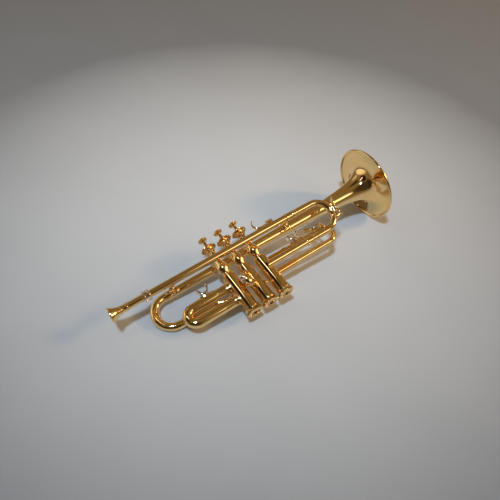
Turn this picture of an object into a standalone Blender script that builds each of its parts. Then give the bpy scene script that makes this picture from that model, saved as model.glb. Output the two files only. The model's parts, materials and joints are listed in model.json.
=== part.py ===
"""A B-flat trumpet with three piston valves, lying on its left side.

Instrument axes, used by every function below:
    x  along the bell, from the mouthpiece to the bell mouth
    h  up the valves, from the bottom caps to the finger buttons
    s  to the player's right, the side that carries the leadpipe
The origin is on the middle valve's axis, level with the ends of the bottom caps.
All sizes are millimetres. One parent empty turns the instrument into its rest
pose on a table, with world +Z up, and scales nothing.
"""
import math

import bmesh
import bpy
from mathutils import Matrix, Vector

METRES_PER_MM = 0.001
GAP = 0.3                      # clearance between two pieces that touch

# Rest pose: the bell rim and the back bow lie on the table
REST_TILT = 6.74               # degrees, bell end raised
REST_ROLL = 10.18              # degrees, finger buttons raised
REST_LIFT = 29.82              # height of the instrument origin above the table
REST_SHIFT_X = -35.11          # centres the bounding box on the world origin
REST_SHIFT_Y = -80.22

# Valves
VALVE_SPACING = 27.0
CASING_RADIUS = 10.3
CASING_WALL = 0.8
CASING_FOOT = 2.3              # lower end of the casing, just above the cap's floor
SHOULDER = 68.5                # top of the wide lower casing
WAIST = 72.0
WAIST_RADIUS = 5.4
VASE_HEIGHT = 84.0             # where the upper casing is widest
VASE_RADIUS = 9.4
NECK_BASE = 99.5
NECK_RADIUS = 5.1
NECK_TOP = 121.5
BOTTOM_CAP_RADIUS = 11.5
BOTTOM_CAP_HEIGHT = 10.0
TOP_CAP_RADIUS = 12.3
TOP_CAP_FLANGE = 125.0         # upper face of the top cap's flange
PISTON_CLEARANCE = 0.3
PISTON_FOOT = 17.0
PISTON_TOP = 64.3
PISTON_WALL = 1.2
STEM_RADIUS = 2.2              # inside the spring
STEM_TOP_RADIUS = 2.8          # above the collar
BUTTON_BASE = 139.4
BUTTON_TOP = 142.4
BUTTON_RADIUS = 7.3

# Tubing
LEADPIPE = (96.4, 19.7)        # h and s of its axis
LEADPIPE_RADIUS = 5.4
TUBE_WALL = 0.8
BELL_AXIS = (99.2, -18.0)
BELL_RIM_X = 266.5
BELL_RIM_RADIUS = 61.5
BELL_BEAD_RADIUS = 1.7
BELL_WALL = 0.8
BELL_FLARE = 94.0              # radius = flare / sqrt(distance + offset) + stem
BELL_STEM = 1.1                # radius far behind the flare
BELL_END_X = -115.5
BOW_CENTRE_X = -119.5
BOW_BEND = 24.7
BOW_RADIUS = 6.3
TAIL_RADIUS = 3.4

TUNING_LOWER = (49.8, 8.9)
TUNING_CENTRE_X = 139.0
TUNING_RADIUS = 5.2
TUNING_UPPER_JOINT_X = 107.0
TUNING_LOWER_JOINT_X = 112.7
TUNING_LEG_INSIDE = 45.0

FIRST_LEGS = (53.2, 30.4)      # h of the two legs
TAIL_PORT_H = sum(FIRST_LEGS) / 2    # the bow's tail enters the first casing between them
FIRST_CENTRE_X = -98.2
FIRST_JOINT_X = -58.0
FIRST_RADIUS = 7.4

SECOND_LEGS = (53.2, 35.8)
SECOND_ANGLE = 35.5            # degrees, swung back from the right side
SECOND_JOINT = 16.0            # distance of the joint from the valve axis
SECOND_RADIUS = 5.5

THIRD_LEGS = (62.0, 38.0)
THIRD_SIDE = -6.0
THIRD_CENTRE_X = 138.0
THIRD_JOINT_X = 72.0
THIRD_RADIUS = 4.4
THIRD_LEG_INSIDE = 34.0

MOUTHPIECE_RIM_X = -197.5
RECEIVER_X = (-148.0, -137.0)

# Facets round each piece
ROUND = 16
TUBE_ROUND = 10
BEND_STEPS = 4

X_AXIS = Vector((1, 0, 0))
H_AXIS = Vector((0, 1, 0))
S_AXIS = Vector((0, 0, 1))
valve_x = [-VALVE_SPACING, 0.0, VALVE_SPACING]

for old in list(bpy.data.objects):
    bpy.data.objects.remove(old, do_unlink=True)

rest_pose = bpy.data.objects.new("rest_pose", None)
bpy.context.scene.collection.objects.link(rest_pose)
tilt = Matrix.Rotation(math.radians(-REST_TILT), 4, "Y")
roll = Matrix.Rotation(math.radians(REST_ROLL), 4, "X")
shift = Vector((REST_SHIFT_X, REST_SHIFT_Y, REST_LIFT)) * METRES_PER_MM
rest_pose.matrix_world = Matrix.Translation(shift) @ tilt @ roll


# ---------------------------------------------------------------- materials
def metal(name, color, roughness):
    """A plain metal for one kind of piece."""
    return surface(name, color, roughness, 1.0)


def surface(name, color, roughness, metallic):
    material = bpy.data.materials.new(name)
    material.use_nodes = True
    shader = material.node_tree.nodes["Principled BSDF"]
    shader.inputs["Base Color"].default_value = (*color, 1.0)
    shader.inputs["Roughness"].default_value = roughness
    shader.inputs["Metallic"].default_value = metallic
    return material


GOLD = metal("gold_plate", (0.83, 0.57, 0.22), 0.12)
PALE_GOLD = metal("pale_gold_plate", (0.93, 0.79, 0.52), 0.1)
NICKEL = metal("nickel", (0.72, 0.70, 0.66), 0.25)
STEEL = metal("spring_steel", (0.55, 0.55, 0.57), 0.3)
FELT = surface("felt", (0.78, 0.74, 0.66), 0.95, 0.0)
CORK = surface("cork", (0.55, 0.38, 0.22), 0.9, 0.0)


# ---------------------------------------------------------------- mesh tools
def finish(name, mesh_source, origin, material):
    """Turn a bmesh in instrument millimetres into an object with its origin set."""
    bmesh.ops.recalc_face_normals(mesh_source, faces=mesh_source.faces[:])
    origin = Vector(origin)
    for vertex in mesh_source.verts:
        vertex.co = (vertex.co - origin) * METRES_PER_MM
    mesh = bpy.data.meshes.new(name)
    mesh_source.to_mesh(mesh)
    mesh_source.free()
    mesh.shade_smooth()
    mesh.set_sharp_from_angle(angle=math.radians(35))
    piece = bpy.data.objects.new(name, mesh)
    bpy.context.scene.collection.objects.link(piece)
    piece.parent = rest_pose
    piece.location = origin * METRES_PER_MM
    if material is not None:
        mesh.materials.append(material)
    return piece


def skin(rings, hollow):
    """Join equal rings of points; a hollow piece closes on itself, a solid one is capped."""
    shape = bmesh.new()
    rows = [[shape.verts.new(point) for point in ring] for ring in rings]
    count = len(rows[0])
    pairs = list(zip(rows, rows[1:]))
    if hollow:
        pairs.append((rows[-1], rows[0]))
    for lower, upper in pairs:
        for k in range(count):
            after = (k + 1) % count
            shape.faces.new((lower[k], lower[after], upper[after], upper[k]))
    if not hollow:
        shape.faces.new(rows[0])
        shape.faces.new(rows[-1])
    return shape


def ring_points(centre, across, upward, radius, count):
    angles = [2 * math.pi * k / count for k in range(count)]
    return [centre + radius * (math.cos(a) * across + math.sin(a) * upward) for a in angles]


def square_to(direction):
    """Two unit vectors at right angles to a direction."""
    helper = S_AXIS if abs(direction.dot(S_AXIS)) < 0.9 else H_AXIS
    across = (helper - direction * helper.dot(direction)).normalized()
    return across, direction.cross(across)


def lathe(name, profile, base, axis, material, hollow=True, steps=ROUND):
    """Turn a profile of (distance along the axis, radius) about an axis through base."""
    base = Vector(base)
    axis = Vector(axis).normalized()
    across, upward = square_to(axis)
    rings = [ring_points(base + axis * along, across, upward, radius, steps)
             for along, radius in profile]
    return finish(name, skin(rings, hollow), base, material)


def rounded_path(corners, radii, steps=BEND_STEPS):
    """A polyline whose inner corners are replaced by arcs of the given radii."""
    corners = [Vector(corner) for corner in corners]
    path = [corners[0]]
    for before, corner, after, radius in zip(corners, corners[1:], corners[2:], radii):
        arriving = (corner - before).normalized()
        leaving = (after - corner).normalized()
        turn = arriving.angle(leaving)
        reach = radius * math.tan(turn / 2)
        start = corner - arriving * reach
        inward = (leaving - arriving * arriving.dot(leaving)).normalized()
        centre = start + inward * radius
        for k in range(steps + 1):
            angle = turn * k / steps
            point = centre + radius * (math.sin(angle) * arriving - math.cos(angle) * inward)
            if (point - path[-1]).length > 1e-4:
                path.append(point)
    path.append(corners[-1])
    return path


def tangents(path):
    """Direction at each point of a path, which may hold a point twice for a step in size."""
    result = []
    for k, point in enumerate(path):
        before = next((p for p in reversed(path[:k]) if (p - point).length > 1e-4), point)
        after = next((p for p in path[k + 1:] if (p - point).length > 1e-4), point)
        ahead = (after - point).normalized() if after is not point else Vector()
        behind = (point - before).normalized() if before is not point else Vector()
        result.append((ahead + behind).normalized())
    return result


def swept_rings(path, radii, steps):
    directions = tangents(path)
    across, _ = square_to(directions[0])
    rings = []
    for point, direction, radius in zip(path, directions, radii):
        across = (across - direction * across.dot(direction)).normalized()
        rings.append(ring_points(point, across, direction.cross(across), radius, steps))
    return rings


def tube(name, path, outer, bore, material, steps=TUBE_ROUND):
    """A pipe along a path; outer is one radius or a radius for each point."""
    path = [Vector(point) for point in path]
    radii = outer if isinstance(outer, list) else [outer] * len(path)
    outside = swept_rings(path, radii, steps)
    if bore is None:
        return finish(name, skin(outside, False), path[0], material)
    inside = swept_rings(path, [bore] * len(path), steps)
    return finish(name, skin(outside + inside[::-1], True), path[0], material)


def prism(outline, thickness_axis, width):
    """Extrude a flat outline by half the width to each side."""
    half = Vector(thickness_axis).normalized() * width / 2
    return skin([[Vector(p) - half for p in outline], [Vector(p) + half for p in outline]], False)


def ribbon_outline(points, thickness):
    """The outline of a strip that follows a polyline of 2-D points."""
    left, right = [], []
    for k, point in enumerate(points):
        point = Vector(point)
        before = Vector(points[max(k - 1, 0)])
        after = Vector(points[min(k + 1, len(points) - 1)])
        arriving = (point - before).normalized() if k else (after - point).normalized()
        leaving = (after - point).normalized() if k < len(points) - 1 else arriving
        along = (arriving + leaving).normalized()
        normal = Vector((-along.y, along.x))
        mitre = thickness / 2 / max(0.5, along.dot(arriving))
        left.append(point + normal * mitre)
        right.append(point - normal * mitre)
    return left + right[::-1]


def frame_points(flat, origin, first, second):
    return [Vector(origin) + first * a + second * b for a, b in flat]


def block(name, origin, axes, lows, highs, material):
    """A box from its low and high corners in a local frame."""
    first, second, third = axes
    flat = [(lows[0], lows[1]), (highs[0], lows[1]), (highs[0], highs[1]), (lows[0], highs[1])]
    middle = Vector(origin) + third * (lows[2] + highs[2]) / 2
    shape = prism(frame_points(flat, middle, first, second), third, highs[2] - lows[2])
    return finish(name, shape, origin, material)


def boolean(piece, tool, operation):
    """Combine with a tool that is only a guide and is left out of the model."""
    tool.hide_render = True
    tool.display_type = "WIRE"
    modifier = piece.modifiers.new(operation.lower() + "_" + tool.name, "BOOLEAN")
    modifier.operation = operation
    modifier.object = tool


def cut(piece, *tools):
    for tool in tools:
        boolean(piece, tool, "DIFFERENCE")


def join(piece, tool):
    boolean(piece, tool, "UNION")


# ---------------------------------------------------------------- valves
def casing_outline(margin):
    """The outside of a casing from foot to neck; margin grows it for a cutter."""
    foot = CASING_FOOT + 8.0
    return [
        (foot, CASING_RADIUS + margin),
        (SHOULDER, CASING_RADIUS + margin),
        (SHOULDER + 2.5, CASING_RADIUS - 1.6 + margin),
        (WAIST, WAIST_RADIUS + 0.9 + margin),
        (WAIST + 2.2, WAIST_RADIUS + 0.9 + margin),
        (WAIST + 2.8, WAIST_RADIUS + margin),
        (WAIST + 7.0, VASE_RADIUS - 1.5 + margin),
        (VASE_HEIGHT, VASE_RADIUS + margin),
        (VASE_HEIGHT + 4.0, VASE_RADIUS - 0.6 + margin),
        (NECK_BASE - 6.0, NECK_RADIUS + 1.7 + margin),
        (NECK_BASE, NECK_RADIUS + margin),
        (NECK_TOP, NECK_RADIUS + margin),
    ]


def casing_cutter(number, x):
    """The space a casing takes up, with the gap that its neighbours keep."""
    return lathe(f"casing_space_{number}", casing_outline(GAP), (x, 0, 0), H_AXIS, None, False)


def port_cutter(name, start, end, radius):
    return tube(name, [start, end], radius, None, None, steps=8)


def valve_casing(number, x):
    """Wide lower casing for the piston, a web at the waist, and a vase for the spring."""
    bore = CASING_RADIUS - CASING_WALL
    thread = CASING_RADIUS - 0.4
    stem_hole = STEM_RADIUS + 0.4
    outside = [(CASING_FOOT, thread), (CASING_FOOT + 8.0, thread)] + casing_outline(0.0)
    inside = [
        (NECK_TOP, NECK_RADIUS - CASING_WALL),
        (NECK_BASE - 1.0, NECK_RADIUS - CASING_WALL),
        (VASE_HEIGHT, VASE_RADIUS - 1.2),
        (WAIST + 9.0, WAIST_RADIUS - 0.7),
        (WAIST + 2.0, WAIST_RADIUS - 1.3),
        (WAIST + 1.0, stem_hole),
        (SHOULDER + 0.3, stem_hole),
        (SHOULDER - 1.5, bore),
        (CASING_FOOT, bore),
    ]
    return lathe(f"valve_casing_{number}", outside + inside, (x, 0, 0), H_AXIS, GOLD)


def bottom_cap(number, x):
    """Screwed cup with a flat end, a vent hole and a thick knurled edge."""
    inner = CASING_RADIUS - 0.1
    rim = BOTTOM_CAP_RADIUS + 0.6
    profile = [
        (0.0, 3.0), (0.0, 8.8), (1.0, rim - 1.0), (1.8, rim), (4.4, rim),
        (5.0, BOTTOM_CAP_RADIUS), (BOTTOM_CAP_HEIGHT, BOTTOM_CAP_RADIUS),
        (BOTTOM_CAP_HEIGHT, inner), (2.0, inner), (2.0, 3.0),
    ]
    return lathe(f"bottom_cap_{number}", profile, (x, 0, 0), H_AXIS, GOLD)


def top_cap(number, x):
    """Skirt around the casing's neck under a wide thin flange."""
    ceiling = NECK_TOP + GAP
    inner = NECK_RADIUS + GAP
    hole = STEM_TOP_RADIUS + 0.4
    flange = TOP_CAP_FLANGE
    profile = [
        (NECK_TOP - 5.0, inner), (NECK_TOP - 5.0, 6.3), (flange - 3.0, 6.3),
        (flange - 2.0, TOP_CAP_RADIUS - 0.4), (flange - 1.1, TOP_CAP_RADIUS),
        (flange, TOP_CAP_RADIUS - 0.3), (flange + 0.2, 5.4), (flange + 0.8, 5.0),
        (flange + 0.8, hole), (ceiling, hole), (ceiling, inner),
    ]
    return lathe(f"top_cap_{number}", profile, (x, 0, 0), H_AXIS, GOLD)


def piston(number, x):
    """Hollow piston, open at its foot, with a tapped top and two cross ports."""
    outer = CASING_RADIUS - CASING_WALL - PISTON_CLEARANCE
    inner = outer - PISTON_WALL
    tapped = 1.8
    profile = [
        (PISTON_FOOT, inner), (PISTON_FOOT, outer), (PISTON_TOP, outer),
        (PISTON_TOP, tapped), (PISTON_TOP - 5.0, tapped), (PISTON_TOP - 5.0, inner),
    ]
    piece = lathe(f"piston_{number}", profile, (x, 0, 0), H_AXIS, NICKEL)
    for k, (height, angle) in enumerate(((30.0, 20.0), (45.0, 80.0))):
        turn = math.radians(angle)
        side = Vector((math.cos(turn), 0, math.sin(turn))) * (outer + 2.0)
        centre = Vector((x, height, 0))
        cut(piece, port_cutter(f"piston_port_{number}_{k}", centre - side, centre + side, 4.0))
    return piece


def valve_stem(number, x):
    """Rod screwed into the piston, with the collar that the spring pushes up."""
    foot = PISTON_TOP - 4.5
    collar = NECK_TOP - 5.5
    profile = [
        (foot, 1.5), (PISTON_TOP + GAP, 1.5), (PISTON_TOP + GAP, STEM_RADIUS),
        (collar, STEM_RADIUS), (collar, 3.9), (collar + 2.0, 3.9),
        (collar + 2.0, STEM_TOP_RADIUS), (BUTTON_BASE - GAP, STEM_TOP_RADIUS),
        (BUTTON_BASE - GAP, 1.4), (BUTTON_BASE + 1.3, 1.4),
    ]
    return lathe(f"valve_stem_{number}", profile, (x, 0, 0), H_AXIS, GOLD, False, TUBE_ROUND)


def stem_felt(number, x):
    base = NECK_TOP - 5.5 + 2.0 + GAP
    inner = STEM_TOP_RADIUS + 0.2
    profile = [(base, inner), (base, 3.9), (NECK_TOP, 3.9), (NECK_TOP, inner)]
    return lathe(f"stem_felt_{number}", profile, (x, 0, 0), H_AXIS, FELT, True, TUBE_ROUND)


def finger_button(number, x):
    """Shallow dished button, screwed on the stem's thin end."""
    base, top = BUTTON_BASE, BUTTON_TOP
    profile = [
        (base + 1.6, 1.75), (base, 1.75), (base, 3.6), (base + 0.7, 5.2),
        (base + 1.3, BUTTON_RADIUS), (base + 2.3, BUTTON_RADIUS), (top, BUTTON_RADIUS - 0.8),
        (top - 0.3, 2.0),
    ]
    return lathe(f"finger_button_{number}", profile, (x, 0, 0), H_AXIS, PALE_GOLD, False)


def valve_spring(number, x):
    """Coil around the stem, from the waist's web up to the stem's collar."""
    wire, coil, turns, steps = 0.45, 3.15, 4, 6
    low = WAIST + 2.9
    high = NECK_TOP - 5.5 - 0.9
    path = []
    for k in range(turns * steps + 1):
        angle = 2 * math.pi * k / steps
        height = low + (high - low) * k / (turns * steps)
        path.append((x + coil * math.cos(angle), height, coil * math.sin(angle)))
    return tube(f"valve_spring_{number}", path, wire, None, STEEL, steps=4)


# ---------------------------------------------------------------- tubing
def u_slide(name, leg_a, leg_b, outward, joint_a, joint_b, centre, radii, inside):
    """A slide's crook: two thin legs, a step at each joint, and a half-round bow.

    leg_a and leg_b are points on the legs' axes at distance 0 along outward;
    joint_a, joint_b and centre are distances along outward. radii are the bow's
    outer radius, the inner leg's outer radius and the bore.
    """
    bow, leg, bore = radii
    leg_a, leg_b = Vector(leg_a), Vector(leg_b)
    bend = (leg_a - leg_b).length / 2
    corner = centre + bend
    start = leg_a + outward * (joint_a - inside)
    end = leg_b + outward * (joint_b - inside)
    middle = rounded_path(
        [leg_a + outward * joint_a, leg_a + outward * corner,
         leg_b + outward * corner, leg_b + outward * joint_b], [bend, bend])
    path = [start, middle[0]] + middle + [middle[-1], end]
    outer = [leg, leg] + [bow] * len(middle) + [leg, leg]
    return tube(name, path, outer, bore, GOLD)


def u_slide_space(name, leg_a, leg_b, outward, start, centre, radius):
    """The space a crook's bow and legs take up, for cutting what sits on them."""
    leg_a, leg_b = Vector(leg_a), Vector(leg_b)
    bend = (leg_a - leg_b).length / 2
    corner = centre + bend
    path = rounded_path([leg_a + outward * start, leg_a + outward * corner,
                         leg_b + outward * corner, leg_b + outward * start], [bend, bend])
    return tube(name, path, radius + GAP, None, None)


def sleeve(name, start, end, radius, bore, band, band_from, band_to):
    """A slide's outer tube with one raised band, placed by its distances from start."""
    start, end = Vector(start), Vector(end)
    outward = (end - start).normalized()
    low, high = start + outward * band_from, start + outward * band_to
    path = [start, low, low, high, high, end]
    radii = [radius, radius, band, band, radius, radius]
    if (end - high).length < GAP:
        path, radii = path[:3] + [end], radii[:4]
    return tube(name, path, radii, bore, GOLD)


def leadpipe():
    """Straight pipe from the receiver to the tuning slide, banded at its open end."""
    h, s = LEADPIPE
    start = RECEIVER_X[0] + 6.5
    end = TUNING_UPPER_JOINT_X - GAP
    return tube("leadpipe", [(start, h, s), (end - 6.5, h, s), (end - 6.5, h, s), (end, h, s)],
                [LEADPIPE_RADIUS, LEADPIPE_RADIUS, 6.2, 6.2], LEADPIPE_RADIUS - TUBE_WALL, GOLD)


def mouthpiece_receiver():
    h, s = LEADPIPE
    length = RECEIVER_X[1] - RECEIVER_X[0]
    seat = LEADPIPE_RADIUS + GAP
    profile = [
        (0.0, 5.5), (0.0, 7.2), (0.8, 7.8), (length - 0.8, 7.8), (length, 7.2),
        (length, seat), (6.2, seat), (6.2, 5.5),
    ]
    return lathe("mouthpiece_receiver", profile, (RECEIVER_X[0], h, s), X_AXIS, PALE_GOLD)


def mouthpiece():
    """Flared cup, two beads and a shank that tapers into the receiver."""
    h, s = LEADPIPE
    shank_end = RECEIVER_X[0] + 19.0 - MOUTHPIECE_RIM_X
    mouth = RECEIVER_X[0] - GAP - MOUTHPIECE_RIM_X
    outside = [
        (0.0, 9.8), (0.6, 11.0), (2.2, 11.3), (4.0, 10.2), (8.0, 8.2), (12.5, 6.6),
        (15.0, 5.8), (16.0, 6.8), (17.4, 5.6), (23.8, 5.4), (25.2, 6.4), (26.8, 5.2),
        (mouth, 5.2), (mouth + 6.5, 4.2), (shank_end, 4.2),
    ]
    inside = [(shank_end, 3.3), (17.5, 2.0), (13.5, 2.1), (10.0, 5.0), (4.5, 7.6), (0.5, 8.7)]
    return lathe("mouthpiece", outside + inside, (MOUTHPIECE_RIM_X, h, s), X_AXIS, GOLD)


def bell_radius(distance):
    """Radius of the bell's sheet at a distance behind the bead's centre."""
    rim = BELL_RIM_RADIUS - BELL_BEAD_RADIUS
    offset = (BELL_FLARE / (rim - BELL_STEM)) ** 2
    return BELL_FLARE / math.sqrt(distance + offset) + BELL_STEM


def bell():
    """Flare and stem in one sheet, rolled into a bead round the rim."""
    rim_x = BELL_RIM_X - BELL_BEAD_RADIUS
    length = rim_x - BELL_END_X
    distances = [1.2, 3.0, 6.5, 12.0, 22.0, 40.0, 75.0, 140.0, 240.0, length]
    outside, inside = [], []
    for distance in reversed(distances):
        slope = -(bell_radius(distance + 0.05) - bell_radius(distance - 0.05)) / 0.1
        steep = math.hypot(1.0, slope)
        along, radius = length - distance, bell_radius(distance)
        shift_along = slope / steep * BELL_WALL / 2
        shift_out = BELL_WALL / 2 / steep
        if distance == length:
            shift_along = 0.0
        outside.append((along - shift_along, radius + shift_out))
        inside.append((along + shift_along, radius - shift_out))
    bead = []
    for degrees in (200, 130, 70, 20):
        angle = math.radians(degrees)
        bead.append((length + BELL_BEAD_RADIUS * math.cos(angle),
                     bell_radius(0) + BELL_BEAD_RADIUS * math.sin(angle)))
    flat = [(length + BELL_BEAD_RADIUS, bell_radius(0) + 0.7),
            (length + BELL_BEAD_RADIUS, bell_radius(0) - 0.9)]
    profile = outside + bead[1:] + flat + inside[::-1]
    return lathe("bell", profile, (BELL_END_X, *BELL_AXIS), X_AXIS, GOLD, steps=24)


def bell_bow():
    """Back bow from the bell's stem round and forward into the first casing."""
    h, s = BELL_AXIS
    low = h - 2 * BOW_BEND
    back = BOW_CENTRE_X - BOW_BEND
    corners = [
        (BELL_END_X - GAP, h, s), (back, h, s), (back, low, s), (-66.0, low, s),
        (-43.0, TAIL_PORT_H, -13.0), (-VALVE_SPACING, TAIL_PORT_H, -3.0),
    ]
    path = rounded_path(corners, [BOW_BEND, BOW_BEND, 30.0, 20.0], BEND_STEPS)
    narrow = 3
    outer = [BOW_RADIUS] * (len(path) - narrow) + [TAIL_RADIUS] * narrow
    return tube("bell_bow", path, outer, TAIL_RADIUS - TUBE_WALL, GOLD)


# ---------------------------------------------------------------- fittings
def brace(name, x, h, low, high, spaces):
    """Turned post across the instrument, its feet cut to the pipes they sit on."""
    span = high - low
    foot, waist, bead = 4.2, 1.7, 2.9
    profile = [
        (0.0, foot), (2.6, foot - 0.6), (4.4, waist), (span / 2 - 2.2, waist),
        (span / 2, bead), (span / 2 + 2.2, waist),
        (span - 4.4, waist), (span - 2.6, foot - 0.6), (span, foot),
    ]
    piece = lathe(name, profile, (x, h, low), S_AXIS, GOLD, False, TUBE_ROUND)
    cut(piece, *spaces)
    return piece


def short_brace(name, x, h, low, high, spaces):
    profile = [(0.0, 3.2), (high - low, 3.2)]
    piece = lathe(name, profile, (x, h, low), S_AXIS, GOLD, False, TUBE_ROUND)
    cut(piece, *spaces)
    return piece


def finger_saddle(name, x, h, s, plate, pipe_space):
    """U-shaped rest for a finger on a short foot that is soldered to a slide."""
    flat = [(-8.6, plate + 11.0), (-7.0, plate + 4.5), (-3.4, plate), (3.4, plate),
            (6.4, plate + 4.5), (7.4, plate + 12.5)]
    outline = ribbon_outline(flat, 1.4)
    shape = prism(frame_points(outline, (x, h, s), X_AXIS, H_AXIS), S_AXIS, 9.6)
    piece = finish(name, shape, (x, h, s), GOLD)
    foot = block(name + "_foot", (x, h, s), (X_AXIS, H_AXIS, S_AXIS),
                 (-3.2, 0.5, -2.6), (3.2, plate + 0.3, 2.6), None)
    join(piece, foot)
    cut(piece, pipe_space)
    return piece


def finger_hook():
    """Curled hook for the right little finger, on top of the leadpipe."""
    h, s = LEADPIPE
    seat = LEADPIPE_RADIUS + GAP + 0.8
    flat = [(62.0, seat), (51.0, seat), (46.4, seat + 1.4), (43.2, seat + 5.0),
            (42.4, seat + 10.0), (44.0, seat + 14.5), (47.0, seat + 17.0)]
    outline = ribbon_outline(flat, 1.5)
    shape = prism(frame_points(outline, (0, h, s), X_AXIS, H_AXIS), S_AXIS, 5.0)
    return finish("finger_hook", shape, (50.0, h, s), GOLD)


def lyre_holder(pipe_space):
    """Socket for a music lyre: a square block with a slot through it."""
    h, s = LEADPIPE
    axes = (X_AXIS, H_AXIS, S_AXIS)
    piece = block("lyre_holder", (68.0, h, s), axes, (-5.0, 4.0, -2.6), (5.0, 10.4, 2.6), GOLD)
    slot = block("lyre_slot", (68.0, h, s), axes, (-6.0, 6.4, -1.2), (6.0, 9.2, 1.2), None)
    cut(piece, slot, pipe_space)
    return piece


def water_key(prefix, origin, along, outward, pipe_space, drop):
    """Seat, hinge pin, lever and cork of a water key on a slide.

    along runs from the nipple's end towards the thumb end, outward leaves the pipe,
    and drop is how far the pipe curves away under the nipple.
    """
    origin = Vector(origin)
    side = along.cross(outward)
    axes = (along, outward, side)
    nipple_at, pin_height, slot_floor = -12.0, 3.9, 1.5

    seat = block(prefix + "_seat", origin, axes, (-14.6, -drop - 2.0, -3.7), (3.2, 1.2, 3.7), GOLD)
    ears = block(prefix + "_ears", origin, axes, (-3.0, 0.6, -3.7), (3.0, 6.0, 3.7), None)
    slot = block(prefix + "_slot", origin, axes, (-4.0, slot_floor, -2.1), (4.0, 7.0, 2.1), None)
    nipple_base = origin + along * nipple_at
    nipple = tube(prefix + "_nipple", [nipple_base, nipple_base + outward * 2.9], 2.1, None, None)
    drain = tube(prefix + "_drain", [nipple_base - outward * (drop + 6.0),
                                     nipple_base + outward * 5.0], 1.0, None, None, steps=8)
    pin_centre = origin + outward * pin_height
    pin_hole = tube(prefix + "_pin_hole", [pin_centre - side * 6, pin_centre + side * 6],
                    1.2, None, None, steps=10)
    join(seat, ears)
    join(seat, nipple)
    cut(seat, slot, drain, pin_hole, pipe_space)

    pin = tube(prefix + "_pin", [pin_centre - side * 4.2, pin_centre + side * 4.2],
               0.9, None, STEEL, steps=10)

    lever_line = [(-14.4, 6.3), (-6.0, 6.3), (-1.0, 4.3), (7.0, 4.8), (12.0, 6.2), (17.0, 9.2)]
    outline = frame_points(ribbon_outline(lever_line, 1.5), origin, along, outward)
    lever = finish(prefix + "_lever", prism(outline, side, 3.6), pin_centre, GOLD)
    hub = tube(prefix + "_hub", [pin_centre - side * 1.8, pin_centre + side * 1.8],
               2.1, None, None, steps=10)
    join(lever, hub)
    cut(lever, pin_hole)

    cork_base = nipple_base + outward * 3.2
    cork = tube(prefix + "_cork", [cork_base, cork_base + outward * 2.0], 2.5, None, CORK)
    cork.parent = lever
    cork.location = (cork_base - pin_centre) * METRES_PER_MM
    return seat, pin, lever, cork


# ---------------------------------------------------------------- assembly
def build_valves():
    casings, spaces = [], []
    for number, x in enumerate(valve_x, start=1):
        casings.append(valve_casing(number, x))
        spaces.append(casing_cutter(number, x))
        bottom_cap(number, x)
        top_cap(number, x)
        piston(number, x)
        valve_stem(number, x)
        stem_felt(number, x)
        finger_button(number, x)
        valve_spring(number, x)
    return casings, spaces


def build_first_slide(casing, casing_space):
    radius, bore, leg = FIRST_RADIUS, 6.2, 5.9
    x = valve_x[0]
    for name, h in zip(("upper", "lower"), FIRST_LEGS):
        pipe = sleeve(f"first_slide_{name}_sleeve", (x, h, 0), (FIRST_JOINT_X + GAP, h, 0),
                      radius, bore, radius + 0.7, 5.0, 14.5)
        cut(pipe, casing_space)
        cut(casing, port_cutter(f"first_port_{name}", (x, h, 0), (x - 20, h, 0), 4.2))
    u_slide("first_slide_crook", (0, FIRST_LEGS[0], 0), (0, FIRST_LEGS[1], 0), -X_AXIS,
            -FIRST_JOINT_X, -FIRST_JOINT_X, -FIRST_CENTRE_X, (radius, leg, 5.0), 18.0)
    space = u_slide_space("first_slide_space", (0, FIRST_LEGS[0], 0), (0, FIRST_LEGS[1], 0),
                          -X_AXIS, -FIRST_JOINT_X, -FIRST_CENTRE_X, radius)
    finger_saddle("thumb_saddle", -70.0, FIRST_LEGS[0], 0.0, radius + 3.6, space)


def build_second_slide(casing, casing_space):
    turn = math.radians(SECOND_ANGLE)
    outward = Vector((-math.sin(turn), 0, math.cos(turn)))
    radius, bore, leg = SECOND_RADIUS, 4.7, 4.4
    for name, h in zip(("upper", "lower"), SECOND_LEGS):
        base = Vector((0, h, 0))
        pipe = tube(f"second_slide_{name}_sleeve",
                    [base + outward * 5, base + outward * (SECOND_JOINT - GAP)],
                    radius + 0.4, bore, GOLD)
        cut(pipe, casing_space)
        cut(casing, port_cutter(f"second_port_{name}", base, base + outward * 20, 3.6))
    upper, lower = Vector((0, SECOND_LEGS[0], 0)), Vector((0, SECOND_LEGS[1], 0))
    u_slide("second_slide_crook", upper, lower, outward, SECOND_JOINT, SECOND_JOINT,
            SECOND_JOINT + 0.3, (radius, leg, 3.5), 5.0)
    end = SECOND_JOINT + 0.3 + (SECOND_LEGS[0] - SECOND_LEGS[1]) / 2 + radius + GAP
    centre = (upper + lower) / 2 + outward * end
    profile = [(0.0, 1.8), (0.8, 1.8), (1.6, 3.4), (3.5, 4.6), (5.6, 4.6), (7.6, 3.3), (8.6, 1.3)]
    lathe("second_slide_knob", profile, centre, outward, PALE_GOLD, False, TUBE_ROUND)


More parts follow.
